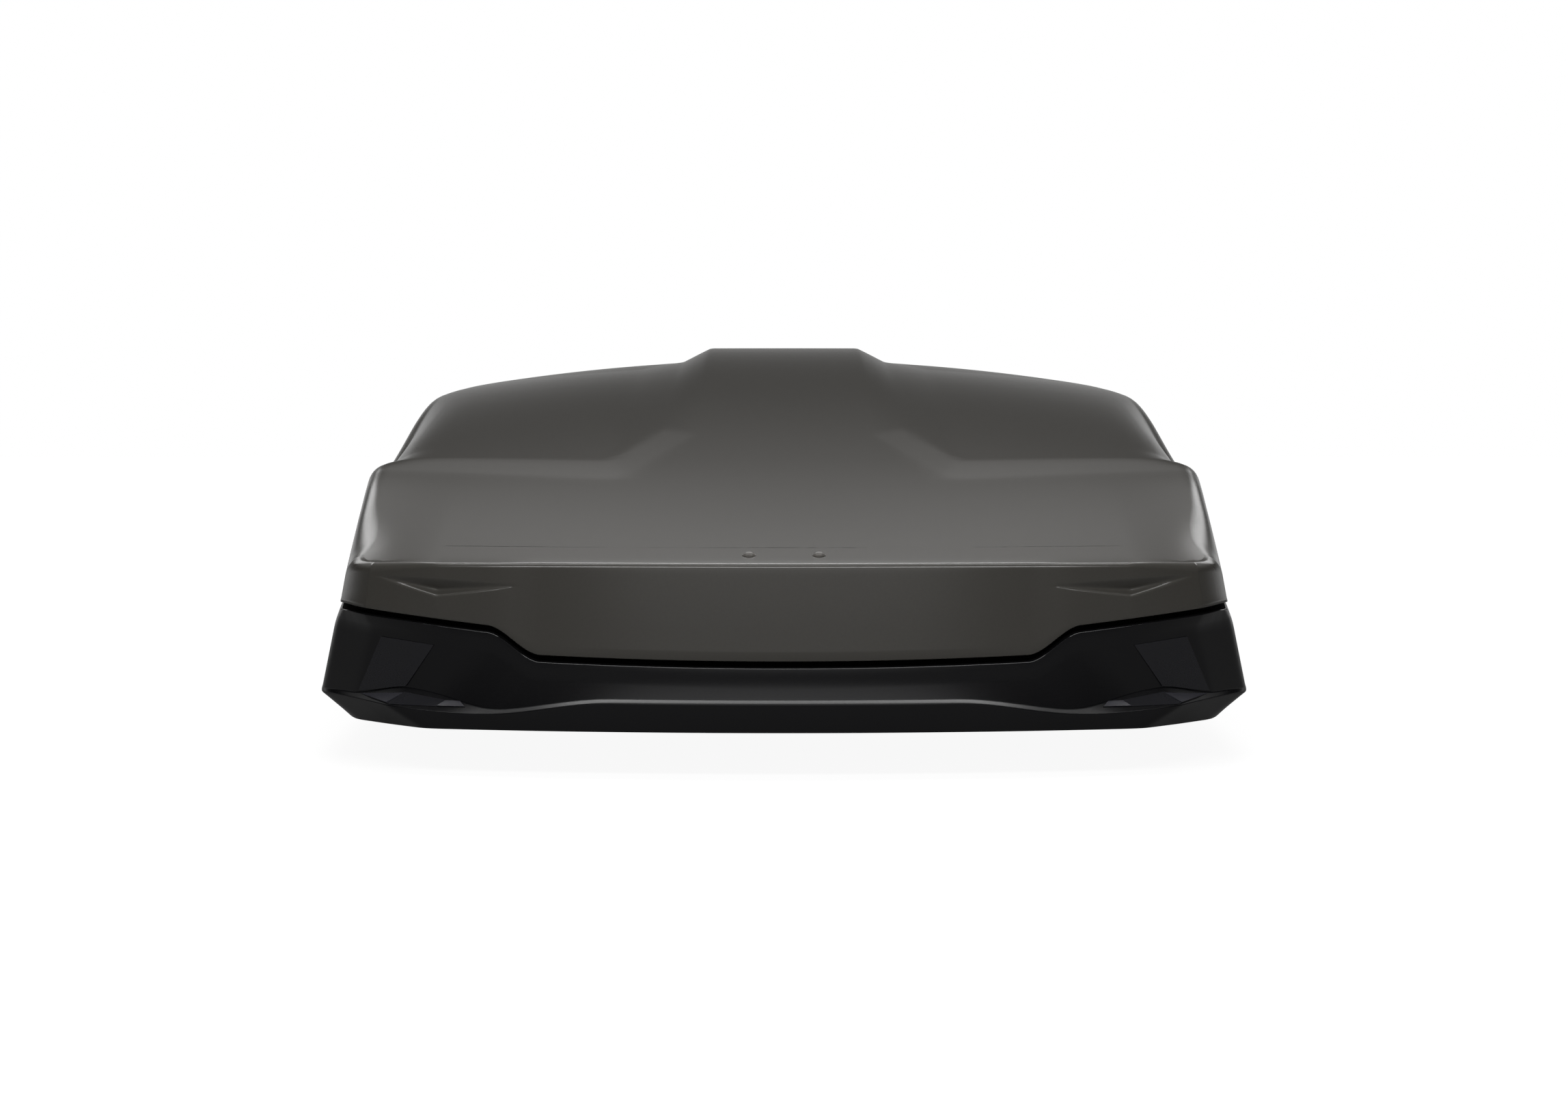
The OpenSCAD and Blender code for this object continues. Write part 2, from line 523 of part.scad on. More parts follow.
module carriage_body() difference() {
    translate([-carriage_w / 2, 0, 0]) rotate([90, 0, 90]) linear_extrude(carriage_w) polygon([
        [-carriage_half, carriage_z], [carriage_half, carriage_z], [carriage_half, carriage_z + 12],
        [carriage_half - 14, carriage_top], [-carriage_half + 14, carriage_top], [-carriage_half, carriage_z + 12]]);
    for (d = [-1, 1]) {
        translate([0, d * (jaw_pivot_y + 8), jaw_pivot_z + jaw_eye_r + 1 - 20])
            cube([jaw_w + 1.2, 36, 40], center = true);
        translate([-carriage_w / 2 - 1, d * jaw_pivot_y, jaw_pivot_z]) rotate([0, 90, 0])
            cylinder(r = jaw_pin_r + .02, h = carriage_w + 2);
    }
    translate([0, 0, carriage_z - 1]) cylinder(r = 5 + fit, h = 60);
}
module jaw_profile() {
    reach = jaw_pivot_y + 1;
    difference() {
        union() {
            translate([jaw_pivot_y, jaw_pivot_z]) circle(r = jaw_eye_r);
            polygon([
                [jaw_pivot_y - 4, jaw_pivot_z], [jaw_pivot_y + jaw_eye_r, jaw_pivot_z],
                [reach + jaw_leg + 1, 6], [reach + jaw_leg + 1, -claw_drop + 12],
                [reach + jaw_leg - 6, -claw_drop + 1.5], [reach - 8, -claw_drop],
                [reach - 15, -claw_drop + 2], [reach - 17, -bar_height - pad_t - 3],
                [reach - 14, -bar_height - pad_t - 1], [reach, -bar_height - pad_t - 1.2], [reach, 6]]);
        }
        translate([jaw_pivot_y, jaw_pivot_z]) circle(r = jaw_pin_r + fit);
    }
}
module jaw(dir) mirror([0, dir < 0 ? 1 : 0, 0])
    translate([-jaw_w / 2, 0, 0]) rotate([90, 0, 90]) linear_extrude(jaw_w) jaw_profile();
module jaw_pins_body() for (d = [-1, 1])
    translate([-carriage_w / 2 + .5, d * jaw_pivot_y, jaw_pivot_z]) rotate([0, 90, 0])
        cylinder(r = jaw_pin_r, h = carriage_w - 1);
module clamp_knob_body() {
    difference() {
        union() {
            translate([0, 0, carriage_top + gap]) cylinder(r1 = knob_r - 5, r2 = knob_r, h = 7);
            translate([0, 0, carriage_top + gap + 7]) cylinder(r = knob_r, h = 11);
            translate([0, 0, carriage_top + gap + 18]) cylinder(r1 = knob_r, r2 = knob_r - 4, h = 4);
        }
        for (a = [0:45:315]) rotate(a) translate([knob_r + 5, 0, carriage_top + 5]) cylinder(r = 9, h = 30);
    }
    translate([0, 0, rail_z + rail_lip + 1.5]) cylinder(r = 5, h = carriage_top - rail_z - rail_lip);
}

function clamp_at(side, bar) = [side * rail_x, bar, 0];
module clamp_part(side, bar) from_nose() translate(clamp_at(side, bar)) children();

module front_left_carriage() color("#26262a") clamp_part(-1, front_bar_y) carriage_body();
module front_left_jaw_pins() color("#9a9ca0") clamp_part(-1, front_bar_y) jaw_pins_body();
module front_left_front_jaw() color("#55585c") clamp_part(-1, front_bar_y) jaw(-1);
module front_left_rear_jaw() color("#55585c") clamp_part(-1, front_bar_y) jaw(1);
module front_left_clamp_knob() color("#c4332a") clamp_part(-1, front_bar_y) clamp_knob_body();

module front_right_carriage() color("#26262a") clamp_part(1, front_bar_y) carriage_body();
module front_right_jaw_pins() color("#9a9ca0") clamp_part(1, front_bar_y) jaw_pins_body();
module front_right_front_jaw() color("#55585c") clamp_part(1, front_bar_y) jaw(-1);
module front_right_rear_jaw() color("#55585c") clamp_part(1, front_bar_y) jaw(1);
module front_right_clamp_knob() color("#c4332a") clamp_part(1, front_bar_y) clamp_knob_body();

module rear_left_carriage() color("#26262a") clamp_part(-1, rear_bar_y) carriage_body();
module rear_left_jaw_pins() color("#9a9ca0") clamp_part(-1, rear_bar_y) jaw_pins_body();
module rear_left_front_jaw() color("#55585c") clamp_part(-1, rear_bar_y) jaw(-1);
module rear_left_rear_jaw() color("#55585c") clamp_part(-1, rear_bar_y) jaw(1);
module rear_left_clamp_knob() color("#c4332a") clamp_part(-1, rear_bar_y) clamp_knob_body();

module rear_right_carriage() color("#26262a") clamp_part(1, rear_bar_y) carriage_body();
module rear_right_jaw_pins() color("#9a9ca0") clamp_part(1, rear_bar_y) jaw_pins_body();
module rear_right_front_jaw() color("#55585c") clamp_part(1, rear_bar_y) jaw(-1);
module rear_right_rear_jaw() color("#55585c") clamp_part(1, rear_bar_y) jaw(1);
module rear_right_clamp_knob() color("#c4332a") clamp_part(1, rear_bar_y) clamp_knob_body();

// ---- hinges -----------------------------------------------------------------
axis_x = lid_half_width - hinge_in;
axis_z = edge_side_z + hinge_up;
knuckle_r = 5;
ear = 13;
leaf_t = 2;
module hinge_slice(y, from, to) translate([0, y + from, 0]) rotate([90, 0, 0]) mirror([0, 0, 1])
    linear_extrude(to - from) children();
module knuckle_ring() translate([-axis_x, axis_z]) difference() {
    circle(r = knuckle_r);
    circle(r = hinge_pin_r + fit);
}
module base_leaf(k) {
    y = hinge_ys[k];
    face = -(side_w(y) - shoulder - upstand_wall) + gap / 2;
    color("#7d8085") from_nose() difference() {
        union() {
            hinge_slice(y, -leaf_half, leaf_half) translate([face, top_side_z - 2])
                square([leaf_t, upstand + 1.4]);
            for (e = [[-leaf_half, -ear - gap], [ear + gap, leaf_half]]) hinge_slice(y, e[0], e[1]) difference() {
                union() {
                    translate([-axis_x, axis_z]) circle(r = knuckle_r);
                    translate([-axis_x, rim_side_z + .7]) square([face + axis_x + leaf_t, 5]);
                    translate([face, top_side_z]) square([leaf_t, upstand + 4]);
                }
                translate([-axis_x, axis_z]) circle(r = hinge_pin_r + .02);
            }
        }
        upstand_places(-1, [y], base_leaf_z) cylinder(d = rivet_d + 2 * fit, h = 30, center = true);
    }
}
module lid_leaf(k) {
    y = hinge_ys[k];
    t = leaf_t;
    color("#7d8085") from_nose() difference() {
        union() {
            on_wall(-1, y, lid_leaf_z) translate([-leaf_half, -17, -shell_wall - gap - t]) cube([2 * leaf_half, 34, t]);
            hinge_slice(y, -ear, ear) difference() {
                union() {
                    translate([-axis_x, axis_z]) circle(r = knuckle_r);
                    polygon([[-axis_x - 4.8, axis_z], [-axis_x, axis_z], [-axis_x, axis_z + 5],
                        [-wall_x(y, lid_leaf_z - 12) + shell_wall + gap + t, lid_leaf_z - 12],
                        [-wall_x(y, lid_leaf_z - 16) + shell_wall + gap + .6, lid_leaf_z - 16]]);
                }
                translate([-axis_x, axis_z]) circle(r = hinge_pin_r + fit);
            }
        }
        lid_leaf_places() cylinder(d = rivet_d + 2 * fit, h = 40, center = true);
    }
}
module front_base_leaf() base_leaf(0);
module middle_base_leaf() base_leaf(1);
module rear_base_leaf() base_leaf(2);
module front_lid_leaf() lid_leaf(0);
module middle_lid_leaf() lid_leaf(1);
module rear_lid_leaf() lid_leaf(2);
module hinge_pins() color("#c9ccd0") from_nose()
    for (y = hinge_ys) translate([-axis_x, y - leaf_half - 1, axis_z]) rotate([-90, 0, 0]) {
        cylinder(r = hinge_pin_r, h = 2 * leaf_half + 2);
        translate([0, 0, -1.5]) cylinder(r = hinge_pin_r + 1.2, h = 2.2);
    }
module upstand_rivets() color("#3a3a3e") from_nose() {
    upstand_places(-1, hinge_ys, base_leaf_z) small_rivet(upstand_wall + leaf_t + gap);
    upstand_places(1, striker_ys, base_leaf_z) small_rivet(upstand_wall + striker_t + gap);
}
module lid_rivets() color("#77726d") from_nose() {
    lid_leaf_places() rivet(shell_wall + leaf_t + gap);
    guide_rivet_places() rivet(shell_wall + guide_t + guide_seat + .5);
    brace_rivet_places() rivet(shell_wall + flange_t + gap);
    nose_rivet_places() rivet(shell_wall + nose_bracket_t + nose_seat + gap + .1);
}
// Flat-headed rivet for the narrow space between upstand and lid
module small_rivet(grip) {
    translate([0, 0, gap / 2]) cylinder(d = rivet_d + 3.5, h = 1.4);
    translate([0, 0, -grip - 1]) cylinder(d = rivet_d, h = grip + 1 + gap);
    translate([0, 0, -grip - 2]) cylinder(d = rivet_d + 2.5, h = 2 - gap / 2);
}

// ---- lid braces and folding stays ---------------------------------------------
brace_w = 30;
brace_h = 16;
brace_wall = 2;
flange_t = 3;
module lid_brace(k) {
    y = stay_ys[k];
    z = brace_zs[k];
    half = wall_x(y, z + brace_h) - shell_wall - gap - flange_t;
    color("#a7aaae") from_nose() difference() {
        union() {
            translate([-half - 1.4, y - brace_w / 2, z]) cube([2 * half + 2.8, brace_w, brace_h]);
            for (s = [-1, 1]) on_wall(s, y, z - brace_rivet_drop)
                translate([-brace_w / 2, -14, -shell_wall - gap - flange_t])
                    cube([brace_w, brace_rivet_drop + brace_h + 14, flange_t]);
        }
        translate([-half - 30, y - brace_w / 2 + brace_wall, z + brace_wall])
            cube([2 * half + 60, brace_w - 2 * brace_wall, brace_h - 2 * brace_wall]);
        for (s = [-1, 1]) on_wall(s, y, z - brace_rivet_drop)
            cylinder(d = rivet_d + 2 * fit, h = 40, center = true);
    }
}
module front_lid_brace() lid_brace(0);
module rear_lid_brace() lid_brace(1);

// A stay is a parallelogram: hinge axis, foot on the rail, knee, and crown on the brace.
arm_w = 20;
arm_t = 4;
arm_pin_r = 4;
arm_gap = .5;
foot_z = 60;
crown_in = 250;
crown_drop = 15;
tab_y = 7;
tab_t = 3;
foot_at = [axis_x - rail_x, foot_z - axis_z];
function crown_at(k) = [crown_in, brace_zs[k] - crown_drop - axis_z];
function knee_at(k) = foot_at + crown_at(k);
function stay_xz(v) = [v[0] - axis_x, v[1] + axis_z];
module stay_plane(k, from, to) translate([0, stay_ys[k] + from, 0]) rotate([90, 0, 0]) mirror([0, 0, 1])
    linear_extrude(to - from) children();
module arm(from, to) {
    v = to - from;
    translate(from) rotate(atan2(v[1], v[0])) difference() {
        union() {
            circle(d = arm_w);
            translate([norm(v), 0]) circle(d = arm_w);
            translate([0, -arm_w / 2]) square([norm(v), arm_w]);
        }
        circle(r = arm_pin_r + fit);
        translate([norm(v), 0]) circle(r = arm_pin_r + fit);
        translate([28, 0]) circle(d = 8);
        translate([norm(v) - 28, 0]) circle(d = 8);
        translate([28, -4]) square([norm(v) - 56, 8]);
    }
}
module lower_arm(k) color("#34363a") from_nose()
    stay_plane(k, arm_gap, arm_gap + arm_t) arm(stay_xz(foot_at), stay_xz(knee_at(k)));
module upper_arm(k) color("#34363a") from_nose()
    stay_plane(k, -arm_gap - arm_t, -arm_gap) arm(stay_xz(crown_at(k)), stay_xz(knee_at(k)));
// Clevis with a base plate on one side of the pin: up = -1 stands on a rail, 1 hangs from a brace
module clevis(k, at, plate_z, up) color("#8a8d91") from_nose() difference() {
    p = stay_xz(at);
    z0 = up < 0 ? plate_z : plate_z - tab_t;
    union() {
        translate([p[0] - 24, stay_ys[k] - tab_y - tab_t, z0]) cube([48, 2 * tab_y + 2 * tab_t, tab_t]);
        for (d = [-1, 1]) stay_plane(k, d * (tab_y + tab_t / 2) - tab_t / 2, d * (tab_y + tab_t / 2) + tab_t / 2) {
            translate(p) circle(r = 9);
            polygon([[p[0] - 9, p[1]], [p[0] + 9, p[1]], [p[0] + 16, z0 + tab_t / 2], [p[0] - 16, z0 + tab_t / 2]]);
        }
    }
    stay_plane(k, -20, 20) translate(p) circle(r = arm_pin_r + .02);
}
module front_stay_foot() clevis(0, foot_at, rail_top + gap / 2, -1);
module rear_stay_foot() clevis(1, foot_at, rail_top + gap / 2, -1);
module front_stay_bracket() clevis(0, crown_at(0), front_brace_z - gap / 2, 1);
module rear_stay_bracket() clevis(1, crown_at(1), rear_brace_z - gap / 2, 1);
module front_lower_arm() lower_arm(0);
module rear_lower_arm() lower_arm(1);
module front_upper_arm() upper_arm(0);
module rear_upper_arm() upper_arm(1);
module stay_pin(k, at, reach) stay_plane(k, -reach, reach) translate(stay_xz(at)) circle(r = arm_pin_r);
module foot_pins() color("#c9ccd0") from_nose() for (k = [0, 1]) stay_pin(k, foot_at, tab_y + tab_t + 1.5);
module crown_pins() color("#c9ccd0") from_nose() for (k = [0, 1]) stay_pin(k, crown_at(k), tab_y + tab_t + 1.5);
spring_wire = 2.6;
spring_r = 8;
module knee_pin(k) color("#c9ccd0") from_nose() {
    stay_pin(k, knee_at(k), arm_gap + arm_t + 1.5);
    stay_plane(k, arm_gap + arm_t + gap / 2, arm_gap + arm_t + 15) translate(stay_xz(knee_at(k)))
        circle(r = spring_r - spring_wire / 2 - gap);
}
module knee_spring(k) color("#54575b") from_nose() {
    p = stay_xz(knee_at(k));
    translate([p[0], stay_ys[k] + arm_gap + arm_t + gap + spring_wire / 2, p[1]]) rotate([-90, 0, 0])
        rotate_extrude() for (i = [0:4]) translate([spring_r, i * (spring_wire - .2)]) circle(d = spring_wire);
}
module front_knee_pin() knee_pin(0);
module rear_knee_pin() knee_pin(1);
module front_knee_spring() knee_spring(0);
module rear_knee_spring() knee_spring(1);

// Bracket inside the nose, held by the pair of rivets beside the middle of the crease
nose_bracket_t = 2.6;
nose_seat = .1;
module nose_bracket() color("#8a8d91") from_nose() difference() {
    translate([0, nose_rivet_y, top_z([0, nose_rivet_y]) - (shell_wall + gap + nose_seat) / cos(nose_slope)])
        rotate([nose_slope, 0, 0]) translate([-55, -7.5, -nose_bracket_t]) cube([110, 33, nose_bracket_t]);
    nose_rivet_places() cylinder(d = rivet_d + 2 * fit, h = 40, center = true);
}

// ---- lock ------------------------------------------------------------------------
// Drawn in the wall's own frame: z outwards, x towards the tail, y up.
lock_barrel_d = 40;
lock_flange_d = lock_knob_d + 18;
spindle_r = 6;
crank_r = lock_travel / sqrt(2);
crank_z = -26;
module in_lock() from_nose() on_wall(1, lock_y, lock_z) children();
module lock_housing() color("#1d1d20") in_lock() difference() {
    union() {
        translate([0, 0, gap / 2]) cylinder(d = lock_flange_d, h = 3);
        translate([0, 0, -18]) cylinder(d = lock_barrel_d, h = 20);
    }
    cylinder(r = spindle_r + fit, h = 100, center = true);
}
module lock_backplate() color("#8a8d91") in_lock() difference() {
    translate([0, 0, -shell_wall - gap - 3]) cylinder(d = lock_barrel_d + 22, h = 3);
    cylinder(d = lock_barrel_d + 2 * fit, h = 100, center = true);
}
module lock_knob() color("#2b2b2f") in_lock() difference() {
    union() {
        translate([0, 0, 3 + gap]) cylinder(d = lock_knob_d, h = 5);
        translate([0, 0, 8 + gap]) cylinder(d1 = lock_knob_d, d2 = lock_knob_d - 4, h = 2);
        translate([-lock_knob_d / 2 + 4, -8, 8]) cube([lock_knob_d - 8, 16, 11]);
        translate([0, 0, crank_z]) cylinder(r = spindle_r, h = 30);
    }
    translate([0, 0, 6]) cylinder(r = spindle_r + fit, h = 30);
}
module key_cylinder() color("#d0d2d5") in_lock() difference() {
    translate([0, 0, 6.2]) cylinder(r = spindle_r, h = 12.9);
    translate([0, 0, 16]) cube([1.6, 7, 8], center = true);
}
rail_face = side_w(lock_y) - shoulder - upstand_wall - 15;  // outer face of the locking bar
bar_t = 3;
bar_low = lock_z - 22;
bar_high = lock_z - 2;
crank_pin_r = 2.6;
// The spindle leans with the wall, so the crank pin sits lower where it meets the bar.
crank_sink = (wall_x(lock_y, lock_z) - rail_face + bar_t / 2) * side_draft(lock_y);
module lock_crank() color("#8a8d91") in_lock() rotate(-135) union() {
    translate([0, 0, crank_z - 3]) cylinder(r = 9, h = 3 - gap / 2);
    translate([0, -5, crank_z - 3]) cube([crank_r, 10, 3 - gap / 2]);
    translate([crank_r, 0, crank_z - 3]) cylinder(r = 5, h = 3 - gap / 2);
    translate([crank_r, 0, crank_z - 10]) cylinder(r = crank_pin_r, h = 9);
}
// Locking bar with three hooks; its foot slides under the striker's tongue.
tongue_half = 8;
tongue_z = rim_side_z - 4;
tongue_t = 3;
hook_half = 6;
hook_clear = 4;
bar_lead = tongue_half + hook_clear + 2 * hook_half + 10;
hook_z = tongue_z - .7;
hook_out = rail_face + 8.2;
module locking_bar() color("#a7aaae") from_nose() difference() {
    union() {
        translate([rail_face - bar_t, striker_ys[0] - bar_lead, bar_low])
            cube([bar_t, 2 * striker_pitch + bar_lead - tongue_half - hook_clear, bar_high - bar_low]);
        for (y = striker_ys) translate([0, y - tongue_half - hook_clear - 2 * hook_half, 0]) {
            translate([rail_face - bar_t, -4, hook_z - bar_t]) cube([bar_t, 2 * hook_half + 4, bar_low - hook_z + bar_t + 1]);
            translate([rail_face - bar_t, 0, hook_z - bar_t]) cube([hook_out - rail_face + bar_t, 2 * hook_half, bar_t]);
        }
    }
    translate([rail_face - bar_t / 2, lock_y - crank_r / sqrt(2), lock_z - crank_sink - (crank_r / sqrt(2) + crank_r) / 2])
        cube([20, 2 * crank_pin_r + 1.2, crank_r * (1 - 1 / sqrt(2)) + 2 * crank_pin_r + 2], center = true);
}
guide_pitch = [420, 150];
guide_ys = [lock_y - guide_pitch[0], lock_y - guide_pitch[1], lock_y + guide_pitch[1], lock_y + guide_pitch[0]];
guide_t = 2.5;
guide_half = 9;
guide_rivet = 16;
guide_seat = .8; // the wall curves a little behind the guides, so they stand off it
guide_rim = 8;
module guide_rivet_places() for (y = guide_ys, d = [-1, 1]) on_wall(1, y + d * guide_rivet, lock_z) children();
module bar_guides() color("#2e2e31") from_nose() for (y = guide_ys) difference() {
    reach = wall_x(y, bar_high) - shell_wall - guide_seat - guide_t / 2;
    union() {
        on_wall(1, y, lock_z) translate([-guide_rivet - guide_rim, bar_low - 3 - lock_z, -shell_wall - guide_seat - guide_t])
            cube([2 * guide_rivet + 2 * guide_rim, lock_z - bar_low + 3 + guide_rim, guide_t]);
        hinge_slice(y, -guide_half, guide_half) difference() {
            translate([rail_face - bar_t - 3, bar_low - 3]) square([reach - rail_face + bar_t + 3, bar_high - bar_low + 6]);
            translate([rail_face + 4, bar_low + 1]) square([reach - rail_face - 8, bar_high - bar_low - 2]);
            translate([rail_face - bar_t - gap, bar_low - gap]) square([bar_t + 2 * gap, bar_high - bar_low + 2 * gap]);
        }
    }
    for (d = [-1, 1]) on_wall(1, y + d * guide_rivet, lock_z)
        cylinder(d = rivet_d + 2 * fit, h = drill, center = true);
}
striker_t = 2.5;
module strikers() color("#8a8d91") from_nose() for (y = striker_ys) {
    face = side_w(y) - shoulder - upstand_wall;
    difference() {
        translate([face, y, 0]) rotate([0, 0, -wall_turn(y)]) union() {
            translate([-gap / 2 - striker_t, -leaf_half, top_side_z - 6]) cube([striker_t, 2 * leaf_half, upstand + 4.5]);
            translate([rail_face + 2 - face, -tongue_half, tongue_z]) cube([face - rail_face - 3, 2 * tongue_half, tongue_t]);
        }
        upstand_places(1, [y], base_leaf_z) cylinder(d = rivet_d + 2 * fit, h = 30, center = true);
    }
}

base_shell();
base_floor();
lid_shell();
floor_rails();
floor_rivets();
seat_pads();
front_left_carriage();
front_left_jaw_pins();
front_left_front_jaw();
front_left_rear_jaw();
front_left_clamp_knob();
front_right_carriage();
front_right_jaw_pins();
front_right_front_jaw();
front_right_rear_jaw();
front_right_clamp_knob();
rear_left_carriage();
rear_left_jaw_pins();
rear_left_front_jaw();
rear_left_rear_jaw();
rear_left_clamp_knob();
rear_right_carriage();
rear_right_jaw_pins();
rear_right_front_jaw();
rear_right_rear_jaw();
rear_right_clamp_knob();
front_base_leaf();
middle_base_leaf();
rear_base_leaf();
front_lid_leaf();
middle_lid_leaf();
rear_lid_leaf();
hinge_pins();
upstand_rivets();
lid_rivets();
front_lid_brace();
rear_lid_brace();
front_stay_foot();
rear_stay_foot();
front_stay_bracket();
rear_stay_bracket();
front_lower_arm();
rear_lower_arm();
front_upper_arm();
rear_upper_arm();
foot_pins();
crown_pins();
front_knee_pin();
rear_knee_pin();
front_knee_spring();
rear_knee_spring();
nose_bracket();
lock_housing();
lock_backplate();
lock_knob();
key_cylinder();
lock_crank();
locking_bar();
bar_guides();
strikers();
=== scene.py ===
"""Roof cargo box: the moulded looks of lid and base, the finish of every part, and the studio."""
import math

import bpy
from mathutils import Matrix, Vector


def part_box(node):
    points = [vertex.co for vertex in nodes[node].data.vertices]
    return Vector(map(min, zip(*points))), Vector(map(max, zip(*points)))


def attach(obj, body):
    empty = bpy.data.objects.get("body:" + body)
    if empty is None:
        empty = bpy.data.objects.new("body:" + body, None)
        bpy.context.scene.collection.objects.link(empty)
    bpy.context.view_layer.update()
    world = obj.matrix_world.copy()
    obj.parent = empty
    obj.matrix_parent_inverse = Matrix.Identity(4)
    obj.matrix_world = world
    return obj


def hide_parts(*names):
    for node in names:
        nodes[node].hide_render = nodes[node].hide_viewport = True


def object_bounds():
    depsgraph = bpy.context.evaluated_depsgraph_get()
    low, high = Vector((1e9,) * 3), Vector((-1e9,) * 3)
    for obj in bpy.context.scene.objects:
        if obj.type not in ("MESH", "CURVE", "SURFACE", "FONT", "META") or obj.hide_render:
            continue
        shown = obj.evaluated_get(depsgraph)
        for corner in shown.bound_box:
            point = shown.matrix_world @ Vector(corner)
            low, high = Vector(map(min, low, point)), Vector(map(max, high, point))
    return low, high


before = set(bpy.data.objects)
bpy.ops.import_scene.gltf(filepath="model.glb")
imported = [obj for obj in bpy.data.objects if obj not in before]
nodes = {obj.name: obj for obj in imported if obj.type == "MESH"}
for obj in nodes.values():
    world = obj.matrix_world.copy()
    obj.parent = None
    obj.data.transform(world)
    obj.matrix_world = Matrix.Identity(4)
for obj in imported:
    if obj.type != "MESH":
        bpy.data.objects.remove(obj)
cad_box = [list(corner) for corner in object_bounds()]
bpy.ops.object.select_all(action="DESELECT")

MM = 0.001
box_low = Vector(cad_box[0])
shell_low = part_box("base_shell")[0]
NOSE_Y = shell_low.y                 # the nose line
UNDERSIDE_Z = shell_low.z            # underside of the base


def place(x, y, z):
    """Millimetres from the nose line and the underside, as metres in the row frame."""
    return Vector((x * MM, NOSE_Y + y * MM, UNDERSIDE_Z + z * MM))


# ---- small maths -------------------------------------------------------------
def lerp(a, b, t):
    return a + (b - a) * t


def mix2(a, b, t):
    return (lerp(a[0], b[0], t), lerp(a[1], b[1], t))


def clamp(v, low=0.0, high=1.0):
    return max(low, min(high, v))


def ease(t):
    """0 to 1 with a level start and end."""
    u = clamp(t)
    return u * u * (3 - 2 * u)


def unit(v):
    """The same direction with a length of 1."""
    size = math.hypot(*v)
    return tuple(c / size for c in v)


def bezier(p, t):
    """A point of the cubic curve with the four handles p."""
    w = ((1 - t) ** 3, 3 * t * (1 - t) ** 2, 3 * t * t * (1 - t), t ** 3)
    return (sum(a * q[0] for a, q in zip(w, p)), sum(a * q[1] for a, q in zip(w, p)))


def lookup(v, table):
    """Straight lines between the (place, value) pairs of a table."""
    if v <= table[0][0]:
        return table[0][1]
    for (x0, y0), (x1, y1) in zip(table, table[1:]):
        if v <= x1:
            return lerp(y0, y1, (v - x0) / (x1 - x0))
    return table[-1][1]


# ---- plan outlines of the moulded shells, in millimetres ----------------------
BOX_LENGTH = 1950
LID_HALF, BASE_HALF = 458, 470
WALL = 4                             # moulded sheet
RIM_ROUND = 1.2                      # rounding of the lid's lower rim
SEAM = 6                             # open joint between lid and base
CREASE_Z, PEAK_Z, PEAK_Y, TAIL_FALL = 160, 358, 1430, 45
EDGE_FRONT_Z, EDGE_SIDE_Z = 68, 116  # the lid's lower edge
BROW_DEPTH = 7
LIP_Z, LIP_SIDE_Z = 27.5, 25         # the base's lowest fold
SHOULDER, UPSTAND = 16, 12           # the base's step under the lid
CORNER_Y, TAPER_END = 125, 640       # the sides spread from the corner as far as here
REAR_START, REAR_END, REAR_TAPER = BOX_LENGTH - 390, BOX_LENGTH - 150, 20
REAR_CORNER, TAIL_BOW, TAIL_LEAN = 120, 14, .07
FRONT_PULL, SIDE_PULL, REAR_PULLS = 75, 45, (75, 50)  # handles of the corner curves
HOOD_SIDE_Y, PANEL_SIDE_Y = 416, 463

# Every coarse step is cut where its ends need close rings, so that creases stay fine.
CUTS = (0, .12, .37, .63, .88)
FINE = len(CUTS)


def refine(values):
    """The values with every step between them cut."""
    out = [lerp(a, b, t) for a, b in zip(values, values[1:]) for t in CUTS]
    return out + [values[-1]]


FRONT_S = refine([0, .2, .4, .58, .66, .7, .74, .78, .82, .86, .93, 1])
CORNER_T = refine([i / 8 for i in range(9)])
SIDE_Y = refine([CORNER_Y, 150, 183, 225, 280, 345, HOOD_SIDE_Y, PANEL_SIDE_Y, 520, 580, TAPER_END])
STRAIGHT_T = refine([i / 7 for i in range(8)])
REAR_T = refine([i / 5 for i in range(6)])
REAR_CORNER_T = refine([i / 6 for i in range(7)])
TAIL_S = refine([i / 12 for i in range(13)])
COARSE_COLS = 11 + 4                 # from the middle to a front corner
COARSE_ROWS = 4 + 10 + 7 + 5 + 3     # from a front corner to a rear corner
COLS, ROWS = COARSE_COLS * FINE, COARSE_ROWS * FINE
HALF_N = 2 * COLS + ROWS             # points from the middle of the nose to that of the tail
RING_N = 2 * HALF_N

# nose y, fold 1, fold 2, fold 3, half width, facet share, sweep power, side power
EDGE_LEVEL = (4, (334, 44), (400, 76), (435, CORNER_Y), LID_HALF, .45, 2, 2.4)
LAMP_LEVEL = (4, (333, 45), (399, 84), (441, 130), LID_HALF + 2, 1, 2, 3)
FOOT_LEVEL = (2, (364, 66), (416, 105), (456, 150), BASE_HALF - 2, 1, 2.6, 6)
LIP_LEVEL = (0, (380, 53), (418, 101), (457, 150), BASE_HALF, 1, 2, 6)
FLOOR_LEVEL = (3, (345, 46), (384, 88), (421, 133), BASE_HALF - 20, 1, 2, 6)


